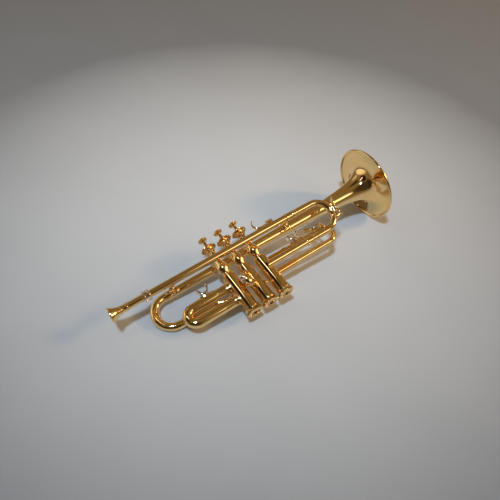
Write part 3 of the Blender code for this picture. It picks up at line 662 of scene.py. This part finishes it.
def spring_piece(number, x):
    """The coil of wire, standing on the web in its casing, with a mesh of its own."""
    steps = 28
    low, high = WAIST + 2.9, FELT_FOOT - 0.9
    path = []
    for k in range(SPRING_TURNS * steps + 1):
        angle = 2 * math.pi * k / steps
        height = low + (high - low) * k / (SPRING_TURNS * steps)
        path.append(Vector((x + SPRING_RADIUS * math.cos(angle), height,
                            SPRING_RADIUS * math.sin(angle))))
    made = piece(f"spring_{number}", f"valve_spring_{number}",
                 [pipe(path, SPRING_WIRE, sides=10, lip=0.1)], STEEL)
    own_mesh(made)


# ------------------------ tubing
def ring(centre, inner, outer, length):
    """A rounded bead round a pipe along x."""
    profile = soften([(-length / 2, inner), (-length / 2, outer), (length / 2, outer),
                      (length / 2, inner)], length * 0.4, 5, closed=True)
    return turned(profile, centre, X_AXIS, closed=True)


def ferrule(start, pipe_radius):
    """A band with a bead at each end, as soldered round a slide's outer tube."""
    inner, outer = pipe_radius - 0.2, pipe_radius + 0.25
    bead, length = 0.7, FERRULE
    profile = soften([
        (0.0, inner), (0.0, outer + bead), (1.5, outer + bead), (1.9, outer),
        (length - 1.9, outer), (length - 1.5, outer + bead), (length, outer + bead),
        (length, inner),
    ], 0.5, 4, closed=True)
    return turned(profile, start, X_AXIS, closed=True)


def crook(leg_a, leg_b, outward, joint_a, joint_b, centre, radii, inside):
    """A slide's bow with its two thin inner legs."""
    bow, leg, bore = radii
    leg_a, leg_b = Vector(leg_a), Vector(leg_b)
    bend = (leg_a - leg_b).length / 2
    corner = centre + bend
    path = route([leg_a + outward * joint_a, leg_a + outward * corner,
                  leg_b + outward * corner, leg_b + outward * joint_b], [bend, bend])
    shapes = [pipe(path, bow, bore)]
    for axis_point, joint in ((leg_a, joint_a), (leg_b, joint_b)):
        shapes.append(pipe([axis_point + outward * (joint - inside),
                            axis_point + outward * (joint + 3.0)], leg, bore))
    return shapes


def leadpipe_pieces():
    """The leadpipe, and the ringed collar that takes the mouthpiece."""
    h, s = LEADPIPE
    end = TUNING_UPPER_JOINT_X - 0.3
    bore = LEADPIPE_RADIUS - TUBE_WALL
    shapes = [pipe([(RECEIVER_X[0] + 6.5, h, s), (end, h, s)], LEADPIPE_RADIUS, bore),
              ferrule((end - FERRULE, h, s), LEADPIPE_RADIUS)]
    piece("leadpipe_tube", "leadpipe", shapes)
    length = RECEIVER_X[1] - RECEIVER_X[0]
    profile = soften([
        (0.0, 5.5), (0.0, 7.3), (0.5, 8.0), (2.2, 8.0), (2.7, 7.4), (length - 3.4, 7.4),
        (length - 3.0, 8.0), (length - 1.2, 8.0), (length - 0.6, 7.2), (length, 6.6),
        (length, LEADPIPE_RADIUS), (6.2, LEADPIPE_RADIUS), (6.2, 5.5),
    ], 0.5, closed=True)
    piece("receiver", "mouthpiece_receiver",
          [turned(profile, (RECEIVER_X[0], h, s), X_AXIS, closed=True)], PALE_GOLD)


def mouthpiece_piece():
    """Cup, ringed back and shank, and back through the bore; along is counted from the rim."""
    h, s = LEADPIPE
    shank_end = RECEIVER_X[0] + SHANK_INSIDE - MOUTHPIECE_RIM_X
    mouth = RECEIVER_X[0] - 0.3 - MOUTHPIECE_RIM_X
    cup = spline([(0.35, 10.9), (1.1, 11.3), (2.4, 11.1), (4.6, 9.9), (8.2, 8.1), (12.0, 6.7),
                  (14.6, 6.0)], 6)
    shank = soften([
        (14.9, 6.0), (15.2, 6.8), (16.3, 6.8), (16.6, 5.7), (20.0, 5.45), (24.2, 5.4),
        (24.5, 6.3), (25.7, 6.3), (26.0, 5.2), (mouth, 5.2), (mouth + 1.0, 4.2),
        (shank_end, 4.2), (shank_end, 3.3),
    ], 0.45)
    inside = spline([(shank_end, 3.3), (17.5, 2.0), (13.5, 2.1), (10.0, 5.0), (4.5, 7.6),
                     (1.0, 8.6), (0.1, 9.2), (-0.05, 10.0), (0.35, 10.9)], 6)
    shape = turned(cup + shank + inside[1:-1], (MOUTHPIECE_RIM_X, h, s), X_AXIS, True, 96)
    piece("mouthpiece_cup", "mouthpiece", [shape], GOLD, "mouthpiece")


def bell_radius(distance):
    """Middle of the bell's sheet, at a distance back from its rim."""
    rim = BELL_RIM_RADIUS - BELL_BEAD_RADIUS
    offset = (BELL_FLARE / (rim - BELL_STEM)) ** 2
    return BELL_FLARE / math.sqrt(distance + offset) + BELL_STEM


def bell_piece():
    """The flare's sheet, the bead that its rim is rolled round, and the ring at its small end."""
    rim_x = BELL_RIM_X - BELL_BEAD_RADIUS
    length = rim_x - BELL_END_X
    count = 90
    outside, inside = [], []
    for k in range(count + 1):
        distance = 0.25 + (length - 0.25) * (1 - k / count) ** 3
        slope = -(bell_radius(distance + 0.05) - bell_radius(distance - 0.05)) / 0.1
        steep = math.hypot(1.0, slope)
        along, radius = length - distance, bell_radius(distance)
        shift_along = 0.0 if k == 0 else slope / steep * BELL_WALL / 2
        shift_out = BELL_WALL / 2 / steep
        outside.append((along - shift_along, radius + shift_out))
        inside.append((along + shift_along, radius - shift_out))
    bead = []
    roll = BELL_BEAD_RADIUS + 0.4
    for degrees in range(215, -76, -10):
        angle = math.radians(degrees)
        bead.append((length + BELL_BEAD_RADIUS - roll + roll * math.cos(angle),
                     BELL_RIM_RADIUS - roll + roll * math.sin(angle)))
    base = Vector((BELL_END_X, *BELL_AXIS))
    shapes = [turned(outside + bead + inside[::-1], base, X_AXIS, closed=True, steps=180),
              ring(base + X_AXIS * 2.0, BOW_RADIUS - 0.5, BOW_RADIUS + 0.9, 4.0)]
    piece("bell_flare", "bell", shapes)


def bow_piece():
    """The back bow, and the tail that narrows on its way into the first casing."""
    h, s = BELL_AXIS
    low = h - 2 * BOW_BEND
    back = BOW_CENTRE_X - BOW_BEND
    corners = [
        (BELL_END_X - 0.3, h, s), (back, h, s), (back, low, s), (TAIL_TURN_X, low, s),
        (-43.0, TAIL_PORT_H, -13.0), (-VALVE_SPACING - 6.0, TAIL_PORT_H, -5.5),
    ]
    path = route(corners, [BOW_BEND, BOW_BEND, 7.0, 7.0])
    radii = []
    for point in path:
        on_tail = point.y < h - BOW_BEND
        share = min(max((point.x - TAIL_TURN_X + 4.0) / 22.0, 0.0), 1.0) if on_tail else 0.0
        share = share * share * (3 - 2 * share)
        radii.append(BOW_RADIUS + (TAIL_RADIUS - BOW_RADIUS) * share)
    outside = swept(path, radii, PIPE_SIDES)
    inside = swept(path, [radius - TUBE_WALL for radius in radii], PIPE_SIDES)
    shapes = [skin(outside + inside[::-1], True),
              ring((BOW_CENTRE_X + 14.0, low, s), BOW_RADIUS - 0.5, BOW_RADIUS + 0.8, 3.0)]
    piece("back_bow", "bell_bow", shapes)


def sleeve_pair(slide, x, legs, side, outward, length, profile, bore):
    """A slide's two outer tubes, shaped to the casing that they are soldered to."""
    for name, h in zip(("upper", "lower"), legs):
        shape = coped_pipe((x, h, side), outward, length, profile, bore)
        piece(f"{slide}_{name}_sleeve", f"{slide}_slide_{name}_sleeve", [shape])


def first_slide_pieces():
    """Outer tubes into the first casing, the crook, and the thumb's saddle."""
    radius, bore, leg = FIRST_RADIUS, 6.2, 5.9
    x = VALVE_X[0]
    length = x - CASING_RADIUS - FIRST_JOINT_X - 0.3
    profile = [(-0.3, radius + 0.9), (0.5, radius + 1.0), (1.6, radius + 0.9), (2.1, radius),
               (5.0, radius), (5.4, radius + 0.6), (6.4, radius + 0.6), (6.8, radius),
               (length - 0.3, radius), (length, radius - 0.2)]
    sleeve_pair("first", x, FIRST_LEGS, 0.0, -X_AXIS, length, profile, bore)
    shapes = crook((0, FIRST_LEGS[0], 0), (0, FIRST_LEGS[1], 0), -X_AXIS,
                   -FIRST_JOINT_X, -FIRST_JOINT_X, -FIRST_CENTRE_X, (radius, leg, 5.0),
                   FIRST_LEG_INSIDE)
    piece("first_crook", "first_slide_crook", shapes, GOLD, "first_slide")
    saddle_piece("thumb_rest", "thumb_saddle", THUMB_SADDLE_X, FIRST_LEGS[0], 0.0, radius,
                 "first_slide")


def second_slide_pieces():
    """Short outer tubes out of the middle casing, the crook, and its pull knob."""
    turn = math.radians(SECOND_ANGLE)
    outward = Vector((-math.sin(turn), 0, math.cos(turn)))
    radius, bore, leg = SECOND_RADIUS, 4.7, 4.4
    outer = radius + 0.4
    length = SECOND_JOINT - 0.3 - CASING_RADIUS
    profile = [(-0.3, outer + 0.7), (0.4, outer + 0.8), (1.2, outer + 0.7), (1.6, outer),
               (length - 1.6, outer), (length - 1.3, outer + 0.5), (length - 0.3, outer + 0.5),
               (length, outer + 0.2)]
    sleeve_pair("second", VALVE_X[1], SECOND_LEGS, 0.0, outward, length, profile, bore)
    upper, lower = Vector((0, SECOND_LEGS[0], 0)), Vector((0, SECOND_LEGS[1], 0))
    shapes = crook(upper, lower, outward, SECOND_JOINT, SECOND_JOINT, SECOND_JOINT + 0.3,
                   (radius, leg, 3.5), SECOND_LEG_INSIDE)
    piece("second_crook", "second_slide_crook", shapes, GOLD, "second_slide")
    end = SECOND_JOINT + 0.3 + (SECOND_LEGS[0] - SECOND_LEGS[1]) / 2 + radius - 0.4
    centre = (upper + lower) / 2 + outward * end
    knob = spline([(0.0, 2.6), (0.9, 2.0), (1.5, 2.1), (2.4, 3.6), (3.8, 4.45), (5.2, 4.6),
                   (6.8, 4.2), (8.2, 3.1), (9.0, 1.4), (9.3, 0.02)], 6)
    piece("second_knob", "second_slide_knob", [turned(knob, centre, outward)], PALE_GOLD,
          "second_slide")


def third_slide_pieces():
    """Outer tubes into the third casing, the crook, the finger's saddle and the water key."""
    radius, bore, leg = THIRD_RADIUS, 3.9, 3.6
    x = VALVE_X[2]
    outer = radius + 0.4
    length = THIRD_JOINT_X - 0.3 - x - CASING_RADIUS
    profile = [(-0.3, outer + 0.6), (0.6, outer + 0.7), (1.5, outer + 0.6), (1.9, outer),
               (length - 5.5, outer), (length - 5.1, outer + 0.7), (length - 4.0, outer + 0.7),
               (length - 3.6, outer), (length - 1.6, outer), (length - 1.2, outer + 0.7),
               (length - 0.2, outer + 0.7), (length, outer + 0.4)]
    sleeve_pair("third", x, THIRD_LEGS, THIRD_SIDE, X_AXIS, length, profile, bore)
    shapes = crook((0, THIRD_LEGS[0], THIRD_SIDE), (0, THIRD_LEGS[1], THIRD_SIDE), X_AXIS,
                   THIRD_JOINT_X, THIRD_JOINT_X, THIRD_CENTRE_X, (radius, leg, 2.9),
                   THIRD_LEG_INSIDE)
    piece("third_crook", "third_slide_crook", shapes, GOLD, "third_slide")
    h = THIRD_LEGS[0]
    saddle_piece("third_finger_rest", "third_slide_finger_saddle", FINGER_SADDLE_X, h, THIRD_SIDE,
                 radius, "third_slide")
    key_pieces("third_water_key", "third_slide", (THIRD_KEY_X, h + radius, THIRD_SIDE), -X_AXIS,
               H_AXIS, 2.0)


def tuning_slide_pieces():
    """The lower outer tube into the third casing, the crook, and the main water key on its bend."""
    upper, lower = Vector((0, *LEADPIPE)), Vector((0, *TUNING_LOWER))
    x = VALVE_X[2]
    outer, bore = LEADPIPE_RADIUS, LEADPIPE_RADIUS - TUBE_WALL
    length = TUNING_LOWER_JOINT_X - 0.3 - x - CASING_RADIUS
    profile = [(-0.3, outer + 0.6), (0.6, outer + 0.7), (1.6, outer + 0.6), (2.0, outer),
               (length, outer), (length, outer - 0.2)]
    shapes = [coped_pipe((x, *TUNING_LOWER), X_AXIS, length, profile, bore),
              ferrule((TUNING_LOWER_JOINT_X - 0.3 - FERRULE, *TUNING_LOWER), outer)]
    piece("tuning_lower_tube", "tuning_lower_sleeve", shapes)
    leg = TUNING_LEG_RADIUS
    shapes = crook(upper, lower, X_AXIS, TUNING_UPPER_JOINT_X, TUNING_LOWER_JOINT_X,
                   TUNING_CENTRE_X, (TUNING_RADIUS, leg, leg - TUBE_WALL), TUNING_LEG_INSIDE)
    for axis_point, joint in ((upper, TUNING_UPPER_JOINT_X), (lower, TUNING_LOWER_JOINT_X)):
        shapes.append(ring(axis_point + X_AXIS * (joint + 6.0), TUNING_RADIUS - 0.4,
                           TUNING_RADIUS + 0.6, 1.8))
    piece("tuning_crook", "tuning_slide_crook", shapes, GOLD, "tuning_slide")
    along = (upper - lower).normalized()
    bend = (upper - lower).length / 2
    origin = (upper + lower) / 2 + X_AXIS * (TUNING_CENTRE_X + bend + TUNING_RADIUS)
    key_pieces("main_water_key", "tuning_slide", origin, along, X_AXIS, 3.0)


# ------------------------ fittings
def patch(point, facing, pipe_radius, half_length, half_width, thick):
    """An oval plate bent round a pipe along x, as soldered under a foot."""
    facing = facing.normalized()
    across = X_AXIS.cross(facing)
    stations, columns = 18, 14
    rings = []
    for k in range(stations + 1):
        u = -math.cos(math.pi * k / stations)
        reach = half_width * math.sqrt(max(1 - u * u, 0.01)) / pipe_radius
        outline = []
        for j in range(columns + 1):
            v = 2 * j / columns - 1
            lift = thick * math.sqrt(max(1 - v ** 8, 0.0)) * (1 - 0.7 * u ** 8)
            outline.append((pipe_radius + lift, reach * v))
        outline += [(pipe_radius - 0.3, reach * (1 - 2 * j / columns))
                    for j in range(columns + 1)]
        centre = Vector(point) + X_AXIS * u * half_length
        rings.append([centre + (facing * math.cos(angle) + across * math.sin(angle)) * radius
                      for radius, angle in outline])
    return skin(rings, False)


def saddle_piece(name, node, x, h, s, pipe_radius, body):
    """U-shaped finger rest with rounded lips, on a waisted foot over an oval plate."""
    top = pipe_radius + 3.6
    line = spline([(-9.2, top + 11.6), (-8.4, top + 8.0), (-7.0, top + 4.6), (-5.0, top + 1.5),
                   (-2.2, top), (1.8, top), (4.6, top + 1.7), (6.2, top + 5.0),
                   (7.1, top + 9.0), (7.8, top + 13.0)], 5)
    path = [Vector((x + u, h + v, s)) for u, v in line]
    shapes = [strap(path, S_AXIS, round_ended(len(path), 9.6, 0.10), 2.9)]
    foot = soften([(pipe_radius - 0.6, 4.2), (pipe_radius + 0.8, 3.6), (pipe_radius + 1.6, 2.3),
                   (top - 1.3, 2.2), (top - 0.2, 3.4)], 0.6)
    shapes.append(turned(foot, (x, h, s), H_AXIS, steps=40))
    shapes.append(patch((x, h, s), H_AXIS, pipe_radius, 12.0, 6.2, 1.8))
    piece(name, node, shapes, PALE_GOLD, body)


def hook_piece():
    """The little finger's hook: a tapering strap that curls up from the leadpipe."""
    h, s = LEADPIPE
    seat = LEADPIPE_RADIUS + 0.9
    line = spline([(62.0, seat), (55.0, seat), (50.0, seat + 0.2), (46.2, seat + 1.7),
                   (43.4, seat + 5.0), (42.6, seat + 9.6), (44.2, seat + 14.2),
                   (47.2, seat + 16.8)], 8)
    path = [Vector((u, h + v, s)) for u, v in line]
    widths = [5.0 - 1.6 * k / (len(path) - 1) for k in range(len(path))]
    widths[-3:] = [3.1, 2.5, 1.3]
    piece("little_finger_hook", "finger_hook", [strap(path, S_AXIS, widths, 1.4)])


def lyre_piece():
    """A square socket with a slot, and a soft foot on the leadpipe."""
    axes = (X_AXIS, H_AXIS, S_AXIS)
    origin = (LYRE_X, *LEADPIPE)
    walls = [((-5.0, 4.4), (5.0, 6.8), -2.6, 2.6, 0.5), ((-5.4, 8.8), (5.4, 10.4), -2.8, 2.8, 0.5),
             ((-5.0, 6.0), (5.0, 9.6), 1.2, 2.6, 0.3), ((-5.0, 6.0), (5.0, 9.6), -2.6, -1.2, 0.3)]
    shapes = []
    for corner, opposite, low, high, bevel in walls:
        shapes.append(plate(box_outline(corner, opposite), origin, axes, low, high, bevel))
    shapes.append(patch(origin, H_AXIS, LEADPIPE_RADIUS, 8.0, 4.4, 0.6))
    piece("lyre_socket", "lyre_holder", shapes)


def brace_piece(name, node, x):
    """Turned post between bell and leadpipe, with flanged feet and beads."""
    h = (LEADPIPE[0] + BELL_AXIS[0]) / 2
    radius = bell_radius(BELL_RIM_X - BELL_BEAD_RADIUS - x) + BELL_WALL / 2
    low = BELL_AXIS[1] + radius * 0.8
    high = LEADPIPE[1] - LEADPIPE_RADIUS * 0.8
    span = high - low
    half = soften([
        (0.0, 5.2), (1.6, 5.0), (2.6, 4.4), (3.1, 3.0), (3.7, 2.9), (3.9, 4.2), (5.3, 4.2),
        (5.5, 2.6), (span / 2 - 3.0, 2.5), (span / 2 - 2.7, 3.4), (span / 2 - 1.9, 3.4),
        (span / 2 - 1.6, 2.8),
    ], 0.4)
    other = [(span - along, across) for along, across in reversed(half)]
    middle = spline([half[-1], (span / 2 - 0.8, 4.0), (span / 2 + 0.8, 4.0), other[0]], 5)
    shapes = [turned(list(half) + middle[1:-1] + other, (x, h, low), S_AXIS, steps=48)]
    middle_s = (LEADPIPE[1] + BELL_AXIS[1]) / 2
    for (pipe_h, pipe_s), pipe_radius in ((LEADPIPE, LEADPIPE_RADIUS), (BELL_AXIS, radius)):
        facing = Vector((0, h - pipe_h, math.copysign(pipe_radius, middle_s - pipe_s)))
        shapes.append(patch((x, pipe_h, pipe_s), facing, pipe_radius, 11.0, 7.0, 1.2))
    piece(name, node, shapes)


def short_brace_piece(number, x):
    """A post from a casing's neck to the leadpipe."""
    low, high = NECK_RADIUS * 0.8, LEADPIPE[1] - LEADPIPE_RADIUS * 0.7
    profile = soften([(0.0, 3.6), (1.2, 3.4), (2.0, 2.5), (high - low - 2.4, 2.5),
                      (high - low - 1.4, 3.3), (high - low, 3.6)], 0.6)
    shapes = [turned(profile, (x, LEADPIPE[0], low), S_AXIS, steps=40),
              patch((x, *LEADPIPE), -S_AXIS, LEADPIPE_RADIUS, 8.0, 5.4, 0.7)]
    piece(f"casing_brace_{number}", f"leadpipe_brace_{number}", shapes)


def knuckle_piece(first, h):
    """A tube between two casings, with a fillet of solder at each end."""
    span = VALVE_SPACING / 2 - CASING_RADIUS + 0.2
    middle = (VALVE_X[first] + VALVE_X[first + 1]) / 2
    half = [(-span, 4.0), (-span + 0.8, 3.3), (-span + 1.8, 3.0)]
    other = [(-along, radius) for along, radius in reversed(half)]
    profile = spline(half + [(0.0, 3.0)] + other, 6) + [(span, 2.2), (-span, 2.2)]
    shape = turned(profile, (middle, h, 0), X_AXIS, closed=True, steps=40)
    piece(f"knuckle_{first + 1}", f"casing_knuckle_{first + 1}", [shape])


def key_pieces(prefix, body, origin, along, outward, drop):
    """A water key: seat with nipple and ears, pin, shaped lever and cork pad."""
    origin = Vector(origin)
    side = along.cross(outward)
    axes = (along, outward, side)
    nipple_base = origin - along * KEY_ARM
    pin_centre = origin + outward * KEY_PIN_HEIGHT
    seat = [
        plate(box_outline((-5.0, -2.2), (4.6, 1.5)), origin, axes, -4.1, 4.1, 0.6),
        turned(soften([(-drop - 3.0, 5.0), (-0.6, 4.3), (0.4, 3.9), (0.8, 2.8), (2.5, 2.5),
                       (2.9, 2.1), (2.9, 0.9), (1.0, 0.9), (1.0, 0.02)], 0.3),
               nipple_base, outward, steps=40),
    ]
    ear = [(-3.6, 0.6), (3.6, 0.6), (3.3, KEY_PIN_HEIGHT), (2.3, 5.7), (0.0, 6.6), (-2.3, 5.7),
           (-3.3, KEY_PIN_HEIGHT)]
    ears = KEY_EARS / 2
    for low, high in ((-ears, 1.5 - ears), (ears - 1.5, ears)):
        seat.append(plate(ear, origin, axes, low, high, 0.35))
    piece(prefix + "_base", prefix + "_seat", seat, GOLD, body)

    pin = soften([(-5.0, 0.02), (-5.0, 1.2), (-4.6, 2.1), (-3.8, 2.1), (-ears, 0.9), (ears, 0.9),
                  (3.8, 2.1), (4.6, 2.1), (5.0, 1.2), (5.0, 0.02)], 0.2)
    piece(prefix + "_screw", prefix + "_pin", [turned(pin, pin_centre, side, steps=32)], STEEL,
          body)

    line = spline([(-14.6, 6.4), (-10.0, 6.5), (-6.0, 6.2), (-3.0, 5.2), (0.0, 4.4), (3.5, 4.3),
                   (7.0, 4.8), (11.0, 5.9), (14.5, 7.4), (17.2, 9.4)], 5)
    path = [origin + along * u + outward * v for u, v in line]
    widths = []
    for u, _ in line:
        if u < 3.2 - KEY_ARM:
            widths.append(6.0 * math.sqrt(max(1 - ((u + KEY_ARM) / 3.6) ** 2, 0.09)))
        elif u < 4.0:
            widths.append(3.7)
        else:
            swell = math.sin(min((u - 4.0) / 13.2, 1.0) * math.pi * 0.86)
            widths.append(3.7 + 4.8 * swell)
    widths[0] = 1.6
    lever = [strap(path, side, widths, 2.8),
             turned(soften([(-1.9, 0.9), (-1.9, 2.7), (1.9, 2.7), (1.9, 0.9)], 0.3, closed=True),
                    pin_centre, side, closed=True, steps=40)]
    piece(prefix + "_arm", prefix + "_lever", lever, GOLD, prefix)
    pad = soften([(3.2, 0.02), (3.2, 2.4), (5.2, 2.5), (5.4, 0.02)], 0.3)
    piece(prefix + "_pad", prefix + "_cork", [turned(pad, nipple_base, outward, steps=32)], CORK,
          prefix)


# ------------------------ stage
FLOOR_HALF = 3.0                # metres, as every size below
PAINTED_LIGHT_MIDDLE = (0.09, 0.175)    # centre of a painted pool of light: the paper is painted palest here
PAINTED_LIGHT_REACH = 0.6               # and painted darkest from here outwards, a painted falloff of the light
# paper colour in the painted light at the middle, and in the painted shade further out
PAPER_IN_PAINTED_LIGHT = (0.62, 0.62, 0.62)
PAPER_IN_PAINTED_SHADE = (0.235, 0.235, 0.24)

ROOM_BASE = (0.215, 0.152, 0.075)
PATCH_CORE = 0.45               # a patch keeps its full colour up to this share of its radius
ROOM_PATCHES = [                # azimuth, elevation, radius in degrees, colour
    (-20.0, 34.0, 26.0, (0.62, 0.47, 0.30)),
    (-68.0, 50.0, 12.0, (0.42, 0.40, 0.38)),
    (97.0, 30.0, 15.0, (0.55, 0.52, 0.50)),
    (132.0, 8.0, 30.0, (0.98, 0.90, 0.78)),
    (168.0, 44.0, 24.0, (0.012, 0.010, 0.012)),
    (104.0, 70.0, 16.0, (0.030, 0.040, 0.024)),
    (-150.0, 10.0, 34.0, (0.03, 0.024, 0.018)),
    (-118.0, 36.0, 42.0, (0.05, 0.036, 0.022)),
    (-67.0, 38.0, 13.0, (2.5, 2.2, 1.6)),
]

LIGHT_TARGET = Vector((0.0, 0.0, 0.04))
CAMERA_AZIMUTH = -126.34
CAMERA_ELEVATION = 47.48
CAMERA_LEAN = 2.75
CAMERA_DISTANCE = 0.7454
CAMERA_TARGET = Vector((-0.0226, -0.0143, 0.050))
FOCUS_DISTANCE = 0.74


def direction(azimuth, elevation):
    """A unit vector; azimuth is measured on the floor from +X towards +Y, both in degrees."""
    turn, rise = math.radians(azimuth), math.radians(elevation)
    return Vector((math.cos(turn) * math.cos(rise), math.sin(turn) * math.cos(rise),
                   math.sin(rise)))


def paper_material():
    """The matt paper that the instrument lies on, with a painted pool of light: pale in the middle,
    painted shade towards the edges.
    """
    material, tree, shader = start_material("paper", Roughness=0.9)
    place = add_node(tree, "ShaderNodeTexCoord").outputs["Object"]
    fibre = pattern(tree, place, "ShaderNodeTexNoise", Scale=900.0, Detail=6.0, Roughness=0.7)
    cloud = pattern(tree, place, "ShaderNodeTexNoise", Scale=6.0, Detail=3.0)
    aside = add_node(tree, "ShaderNodeVectorMath", {"operation": "SUBTRACT"})
    aside.inputs[1].default_value = (*PAINTED_LIGHT_MIDDLE, 0.0)
    tree.links.new(place, aside.inputs[0])
    square = add_node(tree, "ShaderNodeVectorMath", {"operation": "DOT_PRODUCT"})
    for socket in (0, 1):
        tree.links.new(aside.outputs["Vector"], square.inputs[socket])
    # painted falloff of light: the paper darkens with the squared distance from the painted middle
    fade = remap(tree, square.outputs["Value"], 0.0, PAINTED_LIGHT_REACH ** 2, 0.0, 1.0)
    uneven = remap(tree, cloud.outputs["Fac"], 0.3, 0.7, -0.02, 0.03)
    tint = blend_colors(tree, total(tree, fade, uneven), PAPER_IN_PAINTED_LIGHT, PAPER_IN_PAINTED_SHADE)
    tree.links.new(tint, shader.inputs["Base Color"])
    add_bump(tree, shader, fibre.outputs["Fac"], 0.12, 0.0002)
    return material


def floor():
    mesh = bpy.data.meshes.new("table_paper")
    corners = [(x, y, 0) for x, y in box_outline((-FLOOR_HALF,) * 2, (FLOOR_HALF,) * 2)]
    mesh.from_pydata(corners, [], [(0, 1, 2, 3)])
    mesh.materials.append(paper_material())
    place_object("table_paper", mesh)


def soft_light(name, azimuth, elevation, distance, size, power, color, mirrored=True):
    """A softbox that faces the instrument's middle; mirrored=False keeps it out of reflections."""
    data = bpy.data.lights.new(name, "AREA")
    data.shape = "RECTANGLE"
    data.size, data.size_y = size
    data.energy = power
    data.color = color
    lamp = place_object(name, data)
    towards = direction(azimuth, elevation)
    lamp.location = LIGHT_TARGET + towards * distance
    lamp.rotation_euler = towards.to_track_quat("Z", "Y").to_euler()
    lamp.visible_glossy = mirrored


def room():
    """A dim warm room with soft pale and dark patches, which the metal mirrors."""
    world = bpy.data.worlds.new("room")
    bpy.context.scene.world = world
    world.use_nodes = True
    tree = world.node_tree
    place = add_node(tree, "ShaderNodeTexCoord").outputs["Generated"]
    result = ROOM_BASE
    for azimuth, elevation, radius, tint in ROOM_PATCHES:
        aim = add_node(tree, "ShaderNodeVectorMath", {"operation": "DOT_PRODUCT"})
        aim.inputs[1].default_value = direction(azimuth, elevation)
        tree.links.new(place, aim.inputs[0])
        edge = remap(tree, aim.outputs["Value"], math.cos(math.radians(radius)),
                     math.cos(math.radians(radius * PATCH_CORE)), 0.0, 1.0, "SMOOTHSTEP")
        result = blend_colors(tree, edge, result, tint)
    tree.links.new(result, tree.nodes["Background"].inputs["Color"])


def camera():
    """The camera of the photograph, as its perspective was fitted."""
    back = direction(CAMERA_AZIMUTH, CAMERA_ELEVATION)
    level = Vector((-back.y, back.x, 0.0)).normalized()
    rise = back.cross(level)
    lean = math.radians(CAMERA_LEAN)
    right = level * math.cos(lean) + rise * math.sin(lean)
    up = rise * math.cos(lean) - level * math.sin(lean)
    data = bpy.data.cameras.new("camera")
    data.lens = 36.83
    data.sensor_width = 36.0
    data.shift_x, data.shift_y = -0.0062, 0.0213
    data.dof.use_dof = True
    data.dof.focus_distance = FOCUS_DISTANCE
    data.dof.aperture_fstop = 5.6
    made = place_object("camera", data)
    turn = Matrix((right, up, back)).transposed().to_4x4()
    made.matrix_world = Matrix.Translation(CAMERA_TARGET + back * CAMERA_DISTANCE) @ turn
    bpy.context.scene.camera = made


# ------------------------ the whole picture
for number, valve_axis_x in enumerate(VALVE_X, start=1):
    valve_pieces(number, valve_axis_x)
leadpipe_pieces()
mouthpiece_piece()
bell_piece()
bow_piece()
first_slide_pieces()
second_slide_pieces()
third_slide_pieces()
tuning_slide_pieces()
hook_piece()
lyre_piece()
for end_name, brace_x in zip(("front", "rear"), BRACE_X):
    brace_piece(f"{end_name}_post", f"{end_name}_brace", brace_x)
for number in (1, 3):
    short_brace_piece(number, VALVE_X[number - 1])
for left_valve, knuckle_h in enumerate(KNUCKLES):
    knuckle_piece(left_valve, knuckle_h)

room()
floor()
soft_light("cool_key", -142.0, 69.0, 2.6, (0.24, 0.24), 43.0, (0.57, 0.81, 1.06))
soft_light("warm_key", -31.0, 32.0, 4.4, (0.84, 0.84), 66.0, (1.0, 0.63, 0.29))
soft_light("window", 150.0, 62.0, 1.1, (0.05, 0.45), 0.32, (0.90, 0.88, 1.0))
soft_light("bounce", 0.0, 89.0, 1.5, (1.2, 1.2), 2.4, (1.0, 0.76, 0.50), mirrored=False)
bpy.context.scene.view_settings.view_transform = "Standard"
camera()
